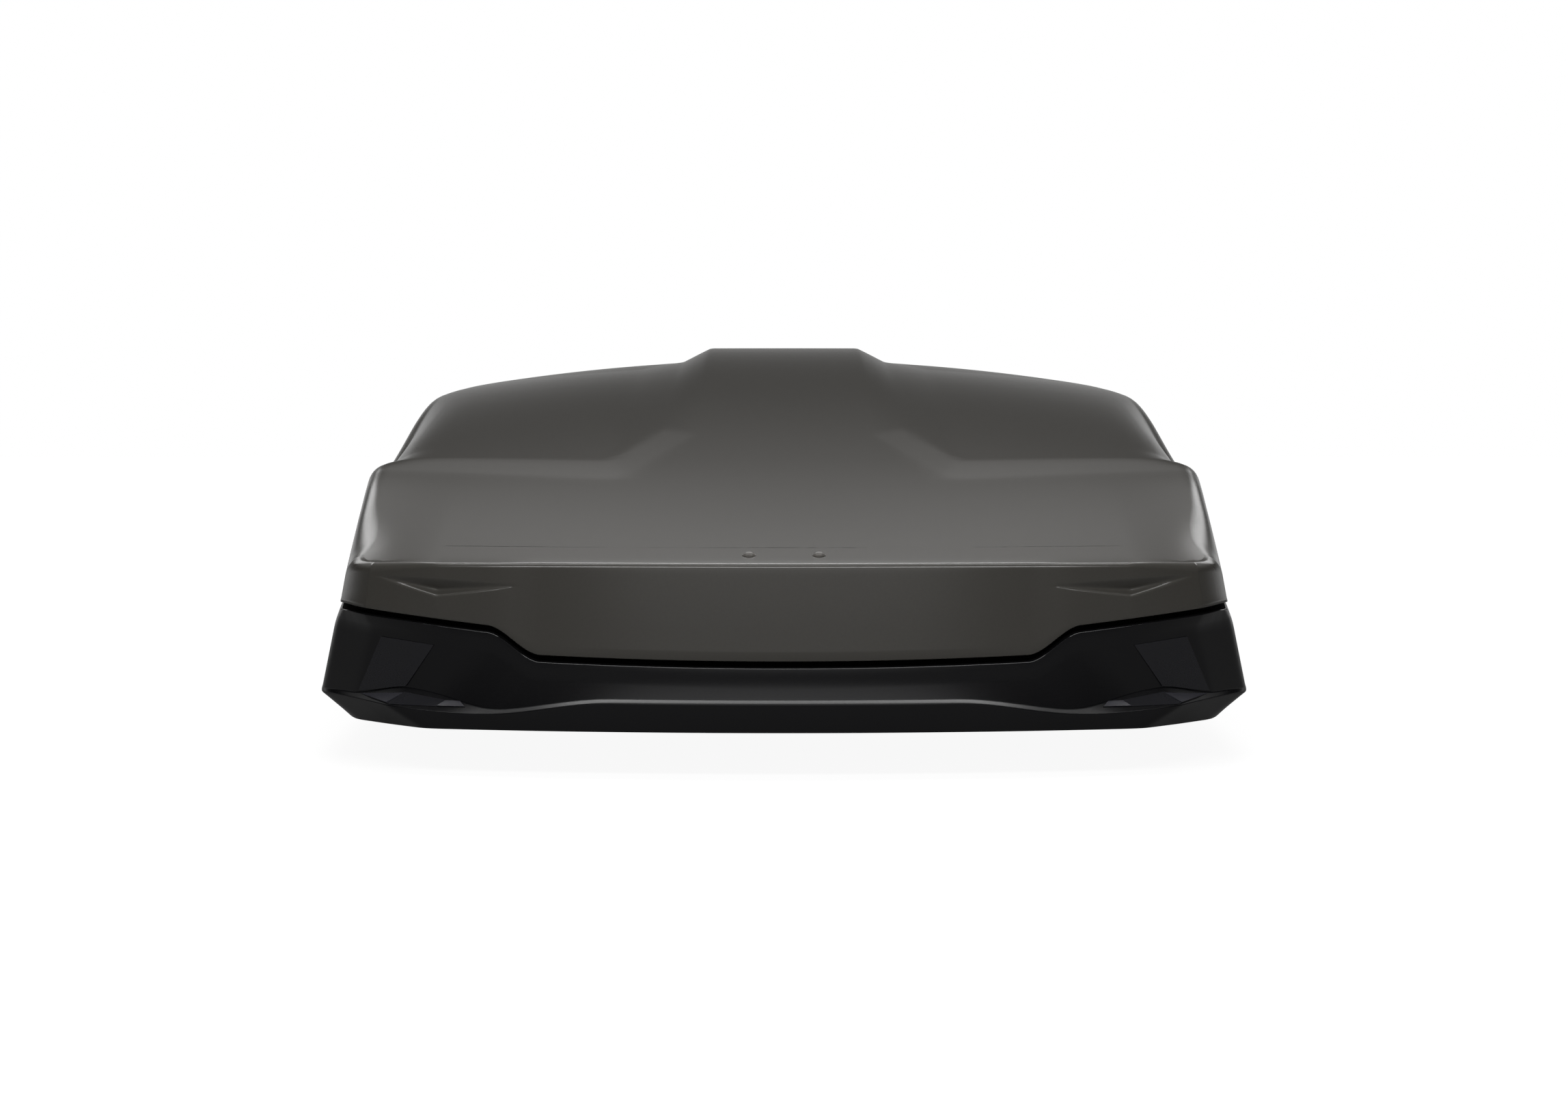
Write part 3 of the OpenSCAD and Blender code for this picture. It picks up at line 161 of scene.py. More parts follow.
def outline(level):
    """The closed plan outline of one level: nose, folded corner, side, rear corner and tail."""
    nose, fold1, fold2, fold3, half, share, sweep, side = level

    def front(s):
        return (fold1[0] * s, nose + (fold1[1] - nose) * s ** sweep)

    def flank(y):
        u = (y - CORNER_Y) / (TAPER_END - CORNER_Y)
        return (half - (half - fold3[0]) * (1 - u) ** side, lerp(fold3[1], TAPER_END, u))

    m = sweep * (fold1[1] - nose) / fold1[0]
    n = side * (half - fold3[0]) / (TAPER_END - fold3[1])
    a, b = unit((1, m)), unit((n, 1))
    handles = (fold1, (fold1[0] + FRONT_PULL * a[0], fold1[1] + FRONT_PULL * a[1]),
               (fold3[0] - SIDE_PULL * b[0], fold3[1] - SIDE_PULL * b[1]), fold3)

    def corner(t):
        facet = mix2(fold1, fold2, 2 * t) if t < .5 else mix2(fold2, fold3, 2 * t - 1)
        return mix2(bezier(handles, t), facet, share)

    def rear(u):
        return (half - REAR_TAPER * u * u, lerp(REAR_START, REAR_END, u))

    start = rear(1)
    end = (half - REAR_CORNER, BOX_LENGTH - TAIL_BOW - nose)
    c = unit((-2 * REAR_TAPER / (REAR_END - REAR_START), 1))
    d = unit((1, -TAIL_LEAN))
    pull_c, pull_d = REAR_PULLS
    rear_handles = (start, (start[0] + pull_c * c[0], start[1] + pull_c * c[1]),
                    (end[0] + pull_d * d[0], end[1] + pull_d * d[1]), end)
    tail = BOX_LENGTH - nose
    points = [front(s) for s in FRONT_S]
    points += [corner(t) for t in CORNER_T[1:]]
    points += [flank(y) for y in SIDE_Y[1:]]
    points += [(half, lerp(TAPER_END, REAR_START, t)) for t in STRAIGHT_T[1:]]
    points += [rear(u) for u in REAR_T[1:]]
    points += [bezier(rear_handles, t) for t in REAR_CORNER_T[1:]]
    points += [(end[0] * (1 - s), tail - (tail - end[1]) * (1 - s) ** 2) for s in TAIL_S[1:]]
    return points + [(-x, y) for x, y in points[-2:0:-1]]


def soften_folds(ring, passes):
    """Rounds the upright folds of a plan outline by averaging neighbours."""
    n = len(ring)
    for _ in range(passes):
        ring = [tuple((ring[i - 1][k] + 2 * ring[i][k] + ring[(i + 1) % n][k]) / 4 for k in (0, 1))
                for i in range(n)]
    return ring


def normals(ring):
    """Outward directions in plan at each point of a ring."""
    n = len(ring)
    out = []
    for i in range(n):
        ahead, behind = ring[(i + 1) % n], ring[i - 1]
        out.append(unit((ahead[1] - behind[1], behind[0] - ahead[0])))
    return out


def inset(ring, depth):
    """The ring moved inwards, by one depth or by a depth for each point."""
    depths = depth if isinstance(depth, list) else [depth] * len(ring)
    return [(p[0] - q[0] * d, p[1] - q[1] * d) for p, q, d in zip(ring, normals(ring), depths)]


# ---- heights -------------------------------------------------------------------
# The lid's lower edge: a slight sag, a ramp up, then a slow rise to the side
EDGE_SAG, EDGE_RISE, EDGE_RUN = 4.5, 28, 140
RAMP_IN, RAMP_OUT = 232, 286


def edge_z(p):
    """Height of the lid's lower edge at a place in plan."""
    x = abs(p[0])
    if p[1] > BOX_LENGTH / 2:
        return EDGE_SIDE_Z
    return (EDGE_FRONT_Z + EDGE_SAG * (min(x, RAMP_IN) / RAMP_IN) ** 2
            + EDGE_RISE * ease((x - RAMP_IN) / (RAMP_OUT - RAMP_IN))
            + (EDGE_SIDE_Z - EDGE_FRONT_Z - EDGE_SAG - EDGE_RISE) * clamp((x - RAMP_OUT) / EDGE_RUN))


# The base's lip dips towards the corner pocket and comes up again past it
LIP_DIP, LIP_DIP_X, LIP_BACK, LIP_BACK_X, LIP_END = 12.5, 165, 10, 290, 450


def lip_height(p):
    """Height of the base's lowest fold at a place in plan."""
    x = abs(p[0])
    if p[1] > 300:
        return LIP_SIDE_Z
    return (LIP_Z - LIP_DIP * ease((x - LIP_DIP_X) / (LIP_BACK_X - LIP_DIP_X))
            + LIP_BACK * ease((x - LIP_BACK_X) / (LIP_END - LIP_BACK_X)))


SPINE_HALF, CHAMFER = 97, 35         # the spine's flat and the slope beside it
HOOD_Y, PANEL_Y = 336, 411           # front and back of the raised band in the middle
KNEE_X = 185                         # where the band turns back beside the spine
SLANT_X, SLANT_Y, SLANT, SLANT_BAND = 175, 436, .3, 42
PEAK_CURVE, SWEEP_CURVE = 1.6, 1.2
SWEPT_X = LID_HALF - 28


def centre_z(y):
    """Height of the spine along the middle."""
    if y < PEAK_Y:
        return CREASE_Z + (PEAK_Z - CREASE_Z) * (1 - (1 - max(y, 0) / PEAK_Y) ** PEAK_CURVE)
    return PEAK_Z - TAIL_FALL * ((y - PEAK_Y) / (BOX_LENGTH - PEAK_Y)) ** 2


def swept(x):
    """How far the band has swept back: 0 at its knee, 1 at the side."""
    return clamp((x - KNEE_X) / (SWEPT_X - KNEE_X)) ** SWEEP_CURVE


def panel_line(x):
    """Where the rear side panels begin: swept at the side, slanting back beside the spine."""
    slant = SLANT_Y + (SLANT_X - max(x, SPINE_HALF + CHAMFER)) / SLANT
    return max(lerp(PANEL_Y, PANEL_SIDE_Y, swept(x)), slant)


def raised(x, y):
    """1 on the hood and the spine, 0 on the rear side panels."""
    hood = lerp(HOOD_Y, HOOD_SIDE_Y, swept(x))
    panel = lerp(PANEL_Y, PANEL_SIDE_Y, swept(x))
    return clamp(max((SPINE_HALF + CHAMFER - x) / CHAMFER, (panel - y) / (panel - hood),
                     (SLANT_X - x - SLANT * (y - SLANT_Y)) / SLANT_BAND))


# How far back the front crease lies: in the middle, at its fold and at the side
CREASE_FOLD, CREASE_END = 334, LID_HALF - 31
CREASE_BACK, FOLD_BACK, END_BACK, CREASE_CURVE = 10, 50, 129, 1.45
CREASE_FALL, CREASE_FALL_X = 2, 410  # the crease's cross fall
CROWN_X, CROWN_FALL = 440, 11        # the top's cross fall on the hood and at the panels' front


def hood_z(x, y):
    """The hood starts level all along the swept front crease."""
    if x < CREASE_FOLD:
        back = CREASE_BACK + (FOLD_BACK - CREASE_BACK) * (x / CREASE_FOLD) ** 2
    else:
        back = FOLD_BACK + ((END_BACK - FOLD_BACK)
                            * ((x - CREASE_FOLD) / (CREASE_END - CREASE_FOLD)) ** CREASE_CURVE)
    front = centre_z(y - back) - CREASE_FALL * (x / CREASE_FALL_X) ** 3
    rear = centre_z(y) - CROWN_FALL * (x / CROWN_X) ** 3
    return lerp(front, rear, ease((y - back) / (HOOD_SIDE_Y - back)))


# The rear panels begin a little above the middle and sink towards the tail and the sides
PANEL_LIFT, PANEL_DROP, PANEL_RUN = 2.6, 16, 880
TAIL_CROSS_FALL, CROSS_RUN = 39, 980
SHOULDER_FALL, SHOULDER_CURVE, SHOULDER_FILL = 44, 24, .85
FALL_START, FALL_RUN, FILL_START, FILL_RUN = 425, 110, 700, 560


def top_z(x, y):
    """Height of the lid's outer face."""
    x = abs(x)
    out = x / CROWN_X
    behind = y - panel_line(x)
    panel = centre_z(y) - lerp(-PANEL_LIFT, PANEL_DROP, clamp(behind / PANEL_RUN))
    panel -= lerp(CROWN_FALL * out ** 3, TAIL_CROSS_FALL * out ** 2, clamp(behind / CROSS_RUN))
    # the shoulder falls away at once behind the band and fills out again towards the tail
    panel -= (SHOULDER_FALL * min(out, 1) ** SHOULDER_CURVE * ease((y - FALL_START) / FALL_RUN)
              * (1 - SHOULDER_FILL * ease((y - FILL_START) / FILL_RUN)))
    return lerp(panel, hood_z(x, y), raised(x, y))


ROUND_MM = 3.5                       # radius of the rounding
CRISP_Y = 230                        # in front of this nothing is rounded, so the crease stays sharp
ROUND_STEPS = [(r * math.cos(a * math.pi / 3), r * math.sin(a * math.pi / 3))
               for r in (.55 * ROUND_MM, ROUND_MM) for a in range(6)] + [(0, 0)]


def rounded_top(x, y):
    """The top with its ridges rounded off: the mean height round the point."""
    if y < CRISP_Y:
        return top_z(x, y)
    return sum(top_z(x + dx, y + dy) for dx, dy in ROUND_STEPS) / len(ROUND_STEPS)


FRONT_DRAFT, CORNER_DRAFT, SIDE_DRAFT, TAIL_DRAFT = .065, .2, .045, .1
CORNER_END = 200                     # the front corner is all within this distance of the nose


def draft(p):
    """How much the lid's wall leans in, for each millimetre of height."""
    x, y = abs(p[0]), p[1]
    if y < CORNER_END:
        return lerp(FRONT_DRAFT, CORNER_DRAFT, ease((x - CREASE_FOLD) / 80))
    if y < REAR_START:
        return lerp(CORNER_DRAFT, SIDE_DRAFT, ease((y - CORNER_END) / 500))
    return lerp(SIDE_DRAFT, TAIL_DRAFT, ease((y - REAR_START) / (BOX_LENGTH - REAR_START)))


def softness(p):
    """How far the rounding between wall and top reaches."""
    x, y = abs(p[0]), p[1]
    if y > REAR_END:
        return 30
    if y < 190:
        return lerp(lerp(5, 10, ease((x - 330) / 70)), 24, ease((y - 95) / 85))
    if y < 300:
        return lerp(24, 17, ease((y - 190) / 110))
    return lookup(y, [(370, 17), (440, 21), (520, 14), (640, 11), (1000, 12), (1300, 18), (REAR_END, 30)])


# ---- the lid ---------------------------------------------------------------------
edge_ring = outline(EDGE_LEVEL)
edge_normals = normals(edge_ring)
edge3 = [(p[0], p[1], edge_z(p)) for p in edge_ring]
crease_ring = inset(edge_ring, [draft(p) * (top_z(*p) - edge_z(p)) for p in edge_ring])
crease3 = [(p[0], p[1], rounded_top(*p)) for p in crease_ring]
softs = [softness(p) for p in crease_ring]
rim_ring = inset(crease_ring, softs)
rim3 = [(p[0], p[1], rounded_top(*p)) for p in rim_ring]


def toward(a, b, length):
    """The point that lies a length away from a, towards b."""
    d = unit((b[0] - a[0], b[1] - a[1], b[2] - a[2]))
    return tuple(a[k] + d[k] * length for k in range(3))


below3 = [toward(c, e, s) for c, e, s in zip(crease3, edge3, softs)]


def soft_ring(t):
    """A ring of the rounding between the wall (0) and the top (1)."""
    return [tuple(b[k] * (1 - t) ** 2 + c[k] * 2 * t * (1 - t) + r[k] * t * t for k in range(3))
            for b, c, r in zip(below3, crease3, rim3)]


BROW_IN, BROW_APEX, BROW_OUT = 258, 334, 394   # across the box, to either side
BROW_Z, BROW_RISE, BROW_START = 140, 7, 200
# Below its ridge: the hollow's deepest line and its lower end, each with what the apex adds
HOLLOW_GAP, HOLLOW_DROP, FOOT_GAP, FOOT_DROP = 2, 9, 3, 13
SWELL = 1.2                          # the wall stands out this far under the apex


def brow(p):
    """How deep the hollow under the brow is: 1 at its apex."""
    x = abs(p[0])
    if p[1] > CORNER_END:
        return 0
    if x < BROW_APEX:
        return clamp((x - BROW_IN) / (BROW_APEX - BROW_IN))
    return clamp((BROW_OUT - x) / (BROW_OUT - BROW_APEX))


def wall_pt(i, z, depth=0.0):
    """The lid's wall at ring point i and height z, a depth inside its plain face."""
    e, b, n = edge3[i], below3[i], edge_normals[i]
    t = (z - e[2]) / (b[2] - e[2])
    return (lerp(e[0], b[0], t) - n[0] * depth, lerp(e[1], b[1], t) - n[1] * depth, z)


def brow_top(i):
    """Height of the brow's ridge at ring point i."""
    x = abs(edge_ring[i][0])
    plain = lerp(edge3[i][2], below3[i][2], .8)
    if edge_ring[i][1] > CORNER_END:
        return plain
    ridge = BROW_Z + BROW_RISE * (x - BROW_IN) / (BROW_OUT - BROW_IN)
    return min(below3[i][2] - 2, lerp(plain, ridge, ease((x - BROW_START) / 50)))


def wall_profile(i):
    """Heights and depths of the corners of the front wall at ring point i."""
    b = brow(edge_ring[i])
    top = brow_top(i)
    return [(below3[i][2], 0), (top, 0), (top - HOLLOW_GAP - HOLLOW_DROP * b, BROW_DEPTH * b),
            (top - FOOT_GAP - FOOT_DROP * b, -SWELL * b), (edge3[i][2], 0)]


def wall_depth(profile, z):
    """Depth of the front wall's profile at height z."""
    for (z0, d0), (z1, d1) in zip(profile, profile[1:]):
        if z >= z1:
            return lerp(d0, d1, (z0 - z) / (z0 - z1)) if z < z0 else d0
    return profile[-1][1]


# Rings of the wall: which stretch of the profile, and how far down it
WALL_STEPS = [(0, t) for t in (.25, .5, .75, .9, 1)]
WALL_STEPS += [(1, t) for t in (.12, .3, .55, .8, .93, 1)]
WALL_STEPS += [(2, t) for t in (.2, .5, .8, 1)]
WALL_STEPS += [(3, t) for t in (.04, .1, .3, .6, .85)]
BROW_SOFT = 1.1                      # the brow's edges are rounded over this height


def wall_ring(step, inner):
    """One ring of the lid's wall, on its outer or its inner face."""
    seg, t = step
    ring = []
    for i in range(RING_N):
        profile = wall_profile(i)
        z = lerp(profile[seg][0], profile[seg + 1][0], t)
        reach = BROW_SOFT * ease(brow(edge_ring[i]) * 4)
        depth = sum(wall_depth(profile, z + reach * k) for k in (-1, -.5, 0, .5, 1)) / 5
        ring.append(wall_pt(i, z, depth + (WALL if inner else 0)))
    return ring


def lip_rings(ring3, side, reach, radius):
    """Rounded rim of a wall: rings from its outer face round to its inner face."""
    n = normals([(p[0], p[1]) for p in ring3])
    across = reach / radius
    steps = [(0, 1), (.3, .3), (1, 0), (across - 1, 0), (across - .3, .3), (across, 1)]
    return [[(p[0] - q[0] * radius * d, p[1] - q[1] * radius * d, p[2] + side * radius * h)
             for p, q in zip(ring3, n)] for d, h in steps]


def drop_in(ring3, depth, drop=0):
    """A ring moved inwards and down."""
    flat = inset([(p[0], p[1]) for p in ring3], depth)
    return [(f[0], f[1], p[2] - drop) for f, p in zip(flat, ring3)]


def spine_edge(y):
    """Where the grid's columns follow the upper edge of the spine's slope."""
    return lookup(y, [(HOOD_Y, KNEE_X), (352, 165), (550, SPINE_HALF)])


def chamfer_foot(y):
    """Where the grid's columns follow the foot of the spine's slope."""
    if y > PANEL_Y:
        return lookup(y, [(PANEL_Y, 203), (430, 176), (520, SPINE_HALF + CHAMFER)])
    return lerp(235, 203, ease((y - 200) / 211))


def row_bow(y):
    """How far a row of the grid bows forward in the middle."""
    return lookup(y, [(60, 58), (CORNER_Y, 62), (HOOD_SIDE_Y, HOOD_SIDE_Y - HOOD_Y),
                      (PANEL_SIDE_Y, PANEL_SIDE_Y - PANEL_Y), (580, 30), (900, 0),
                      (REAR_END, 0), (BOX_LENGTH, -TAIL_BOW)])


# Columns in coarse steps, cut as the rings are
FRONT_BLEND, TAIL_BLEND = 5, 4       # coarse rows over which the columns leave and rejoin the rim
GROW_START, GROW_RUN = 60, 340       # behind the nose the rows turn from one curve into another
COL_K = refine(list(range(COARSE_COLS + 1)))
ROW_J = refine(list(range(COARSE_ROWS + 1)))


def grid_pt(i, j):
    """Plan place of column i and row j on the lid's top."""
    side = -1 if i < 0 else 1
    a_i = abs(i)
    k, row = COL_K[a_i], ROW_J[j]
    edge, front, back = rim_ring[COLS + j], rim_ring[a_i], rim_ring[HALF_N - a_i]
    if j == 0:
        return (side * front[0], front[1])
    if j == ROWS:
        return (side * back[0], back[1])
    w = edge[0]
    if a_i == COLS:
        return (side * w, edge[1])
    a, b = ease(row / FRONT_BLEND), ease((COARSE_ROWS - row) / TAIL_BLEND)
    rim_x = front[0] * w / rim_ring[COLS][0] if a < 1 else back[0] * w / rim_ring[HALF_N - COLS][0]
    y0 = edge[1] - row_bow(edge[1])
    # columns 0 to 3 lie on the spine, 3 to 5 on its slope and the rest outside it
    if k <= 3:
        x0 = spine_edge(y0) * k / 3
    elif k <= 5:
        x0 = lerp(spine_edge(y0), chamfer_foot(y0), (k - 3) / 2)
    else:
        x0 = lerp(chamfer_foot(y0), w, (k - 5) / (COARSE_COLS - 5))
    x = lerp(rim_x, x0, min(a, b))
    grown = ease((edge[1] - GROW_START) / GROW_RUN)
    q = KNEE_X * grown
    y = edge[1] - row_bow(edge[1]) * (1 - clamp((x - q) / (w - q)) ** lerp(2, 1.2, grown))
    return (side * x, y)


def rim_cell(k):
    """The cell of the top's grid that ring point k joins."""
    k %= RING_N
    if k > HALF_N:
        c = rim_cell(RING_N - k)
        return (-c[0], c[1])
    if k <= COLS:
        return (k, 0)
    return (COLS, k - COLS) if k <= COLS + ROWS else (HALF_N - k, ROWS)


def build_mesh(name, points, faces):
    """A closed mesh from points in millimetres, merged and facing outwards."""
    mesh = bpy.data.meshes.new(name)
    mesh.from_pydata([place(*p) for p in points], [], faces)
    obj = bpy.data.objects.new(name, mesh)
    bpy.context.scene.collection.objects.link(obj)
    bpy.context.view_layer.objects.active = obj
    obj.select_set(True)
    bpy.ops.object.mode_set(mode="EDIT")
    bpy.ops.mesh.select_all(action="SELECT")
    bpy.ops.mesh.remove_doubles(threshold=1e-6)
    bpy.ops.mesh.normals_make_consistent(inside=False)
    bpy.ops.object.mode_set(mode="OBJECT")
    return obj


SHELL_CRISP, TRIM_CRISP = 40, 30     # degrees past which an edge stays crisp


def finish_edges(obj, degrees):
    """Smooth shading, with edges sharper than this left crisp."""
    bpy.context.view_layer.objects.active = obj
    obj.select_set(True)
    bpy.ops.object.shade_smooth_by_angle(angle=math.radians(degrees))
    obj.select_set(False)


def lid_mesh():
    """The lid's moulding: top grid, rounding, wall, rim and inner faces as one closed sheet."""
    width = 2 * COLS + 1
    flat = [grid_pt(i, j) for j in range(ROWS + 1) for i in range(-COLS, COLS + 1)]
    outer = [(x, y, rounded_top(x, y)) for x, y in flat]
    rings = [soft_ring(t) for t in (.88, .75, .62, .5, .38, .25, .12, 0)]
    rings += [wall_ring(s, False) for s in WALL_STEPS]
    rings += lip_rings(edge3, 1, WALL, RIM_ROUND)
    rings += [wall_ring(s, True) for s in reversed(WALL_STEPS[:-1:2])]
    rings += [drop_in(soft_ring(t), WALL * (1 - .4 * t), WALL * t) for t in (0, .25, .5, .75)]
    inner_rim = drop_in(rim3, WALL * .5, WALL)
    inner = []
    for j in range(ROWS + 1):
        for i in range(-COLS, COLS + 1):
            if abs(i) == COLS or j in (0, ROWS):
                k = abs(i) if j == 0 else HALF_N - abs(i) if j == ROWS else COLS + j
                q = inner_rim[k]
                inner.append((-q[0] if i < 0 else q[0], q[1], q[2]))
            else:
                x, y = flat[j * width + i + COLS]
                inner.append((x, y, rounded_top(x, y) - WALL))
    points = outer + [p for r in rings for p in r] + inner
    first_ring = len(outer)
    first_inner = first_ring + len(rings) * RING_N

    def cell(c):
        return c[1] * width + c[0] + COLS

    def ring(r, k):
        return first_ring + r * RING_N + k % RING_N

    faces = []
    for j in range(ROWS):
        for i in range(-COLS, COLS):
            a = cell((i, j))
            faces.append((a, a + 1, a + 1 + width, a + width))
            a += first_inner
            faces.append((a, a + width, a + 1 + width, a + 1))
    for k in range(RING_N):
        here, there = cell(rim_cell(k)), cell(rim_cell(k + 1))
        faces.append((here, ring(0, k), ring(0, k + 1), there))
        for r in range(len(rings) - 1):
            faces.append((ring(r, k), ring(r + 1, k), ring(r + 1, k + 1), ring(r, k + 1)))
        last = len(rings) - 1
        faces.append((ring(last, k), here + first_inner, there + first_inner, ring(last, k + 1)))
    return build_mesh("lid_moulding", points, faces)


# ---- the base ----------------------------------------------------------------------
# Smoothing passes over the upright folds: softest on the floor, crispest at the foot
FLOOR_SOFT, LIP_SOFT, FOOT_SOFT, LAMP_SOFT = 14, 8, 4, 6
FACET_HEIGHT, FACET_DEPTH = 4.5, 2   # the facet above the lip
POCKET_X, POCKET_APEX, POCKET_RISE = 250, 364, 12
TOP_BAND = 15                        # upright band under the seam


def base_profile():
    """Corner rings of the base, each with its rounding's radius, from the floor round to the inner floor."""
    floor_ring = soften_folds(outline(FLOOR_LEVEL), FLOOR_SOFT)
    lip_ring = soften_folds(outline(LIP_LEVEL), LIP_SOFT)
    foot_ring = soften_folds(outline(FOOT_LEVEL), FOOT_SOFT)
    lamp_ring = soften_folds(outline(LAMP_LEVEL), LAMP_SOFT)
    floor3 = [(p[0], p[1], 0) for p in floor_ring]
    lip3 = [(p[0], p[1], lip_height(p)) for p in lip_ring]
    foot3 = []
    for p, q, narrow in zip(foot_ring, lip_ring, inset(lip_ring, FACET_DEPTH)):
        x, z = abs(p[0]), lip_height(q) + FACET_HEIGHT
        if p[1] <= CORNER_END:
            # a narrow facet along the nose that opens out into the corner pockets
            z += POCKET_RISE * (ease((x - POCKET_X) / 114) - ease((x - POCKET_APEX) / 60))
            p = mix2(narrow, p, ease((x - POCKET_X) / 90))
        foot3.append((p[0], p[1], z))
    top3 = [(p[0], p[1], z - SEAM) for p, z in zip(edge_ring, [e[2] for e in edge3])]
    lamp3 = [(p[0], p[1], t[2] - TOP_BAND) for p, t in zip(lamp_ring, top3)]
    step3 = drop_in(top3, SHOULDER)
    rise3 = drop_in(step3, 0, -UPSTAND)
    inner_rise3 = drop_in(rise3, WALL - 1)
    outside = [(floor3, 5), (lip3, 1.2), (foot3, 1.2), (lamp3, 6), (top3, 1.5)]
    upstand = [(step3, 1.2), (rise3, .9), (inner_rise3, .9)]
    inside = [(drop_in(top3, SHOULDER + WALL - 1, WALL), 2.5), (drop_in(top3, WALL + 1, WALL + 1), 2)]
    inside += [(drop_in(lamp3, WALL), 4), (drop_in(foot3, WALL), 4), (drop_in(floor3, WALL + 8, -WALL), 6)]
    return outside + upstand + inside


def rounded_profile(levels):
    """Rings with each corner between the levels rounded off."""
    rings = [levels[0][0]]
    for (before, _), (here, r), (after, _) in zip(levels, levels[1:], levels[2:]):
        starts, ends = [], []
        for a, b, c in zip(before, here, after):
            reach = min(r, math.dist(a, b) * .4, math.dist(b, c) * .4)
            starts.append(toward(b, a, reach))
            ends.append(toward(b, c, reach))
        for t in (0, .3, .7, 1):
            rings.append([tuple(s[k] * (1 - t) ** 2 + b[k] * 2 * t * (1 - t) + e[k] * t * t
                                for k in range(3)) for s, b, e in zip(starts, here, ends)])
    rings.append(levels[-1][0])
    return rings


def base_mesh():
    """The base's moulding as one closed sheet, flat inside and below."""
    rings = rounded_profile(base_profile())
    points = [p for r in rings for p in r]
    n = len(rings)

    def at(r, k):
        return r * RING_N + k % RING_N

    faces = []
    for r in range(n - 1):
        for k in range(RING_N):
            faces.append((at(r, k), at(r, k + 1), at(r + 1, k + 1), at(r + 1, k)))
    for r, up in ((0, False), (n - 1, True)):
        for i in range(HALF_N):
            quad = [at(r, i), at(r, i + 1), at(r, RING_N - i - 1), at(r, RING_N - i)]
            if i == 0:
                quad = quad[:3]
            elif i == HALF_N - 1:
                quad = [quad[0], quad[1], quad[3]]
            faces.append(tuple(reversed(quad)) if not up else tuple(quad))
    return build_mesh("base_moulding", points, faces)


def cut_boxes(obj, boxes):
    """Cuts boxes, given as centre and size in metres, out of a closed moulding."""
    bpy.ops.object.select_all(action="DESELECT")
    cutters = []
    for centre, size in boxes:
        bpy.ops.mesh.primitive_cube_add(size=1, location=centre)
        cutter = bpy.context.object
        cutter.scale = size
        bpy.ops.object.transform_apply(location=True, rotation=True, scale=True)
        cutters.append(cutter)
    bpy.ops.object.select_all(action="DESELECT")
    for cutter in cutters:
        cutter.select_set(True)
    bpy.context.view_layer.objects.active = cutters[0]
    bpy.ops.object.join()
    cutter = bpy.context.object
    cutter.select_set(False)
    bpy.context.view_layer.objects.active = obj
    obj.select_set(True)
    cut = obj.modifiers.new("slots", "BOOLEAN")
    cut.operation, cut.object, cut.solver = "DIFFERENCE", cutter, "EXACT"
    bpy.ops.object.modifier_apply(modifier=cut.name)
    bpy.data.objects.remove(cutter)


# ---- materials ---------------------------------------------------------------------
def colour(code):
    """An sRGB hex value as linear RGBA."""
    parts = [int(code[i:i + 2], 16) / 255 for i in (1, 3, 5)]
    return tuple(c / 12.92 if c <= .04045 else ((c + .055) / 1.055) ** 2.4 for c in parts) + (1.0,)


def add(tree, kind, settings=None, links=None):
    """A node of that kind with its settings; links name its inputs and where they come from."""
    node = tree.nodes.new(kind)
    for key, value in (settings or {}).items():
        if hasattr(node, key):
            setattr(node, key, value)
        else:
            node.inputs[key].default_value = value
    for key, source in (links or {}).items():
        tree.links.new(source, node.inputs[key])
    return node


def surface(name, code, roughness, metallic=0.0, ior=1.5, grain=None, cloud=None):
    """A finish of one stuff. grain is (size mm, height mm), cloud is (size mm, other colour, share)."""
    mat = bpy.data.materials.new(name)
    mat.use_nodes = True
    tree = mat.node_tree
    shader = tree.nodes["Principled BSDF"]
    shader.inputs["Base Color"].default_value = colour(code)
    shader.inputs["Roughness"].default_value = roughness
    shader.inputs["Metallic"].default_value = metallic
    if not metallic:
        shader.inputs["IOR"].default_value = ior
    where = add(tree, "ShaderNodeTexCoord").outputs["Object"]
    if cloud:
        size, other, share = cloud
        noise = add(tree, "ShaderNodeTexNoise",
                    {"Scale": 1 / (size * MM), "Detail": 3.0, "Roughness": .6}, {"Vector": where})
        patch = noise.outputs["Fac"]
        amount = add(tree, "ShaderNodeMapRange",
                     {"From Min": .35, "From Max": .7, "To Min": 0.0, "To Max": share}, {"Value": patch})
        mixed = add(tree, "ShaderNodeMix", {"data_type": "RGBA"})
        # A Mix node repeats its socket names for each kind of data: 6, 7 and output 2 are the colours
        mixed.inputs[6].default_value = colour(code)
        mixed.inputs[7].default_value = colour(other)
        tree.links.new(amount.outputs["Result"], mixed.inputs[0])
        tree.links.new(mixed.outputs[2], shader.inputs["Base Color"])
        dullest = min(1.0, roughness * 1.08)
        rough = add(tree, "ShaderNodeMapRange",
                    {"From Min": .3, "From Max": .7, "To Min": roughness * .93, "To Max": dullest},
                    {"Value": patch})
        tree.links.new(rough.outputs["Result"], shader.inputs["Roughness"])
    if grain:
        size, height = grain
        pattern = add(tree, "ShaderNodeTexNoise", {"Scale": 1 / (size * MM), "Detail": 2.0},
                      {"Vector": where})
        bump = add(tree, "ShaderNodeBump", {"Strength": 1.0, "Distance": height * MM},
                   {"Height": pattern.outputs["Fac"]})
        tree.links.new(bump.outputs["Normal"], shader.inputs["Normal"])
    return mat


def dress(names, mat):
    """Gives the named parts this finish."""
    for name in names:
        slots = nodes[name].data.materials
        slots.clear()
        slots.append(mat)


# The grain of moulded plastic and rubber is really .1 to .3 mm across, and is drawn .7 to 1.2 mm so
# that it shows. The metals' marks of rolling, turning and drawing are drawn coarser too, .4 to 3 mm.

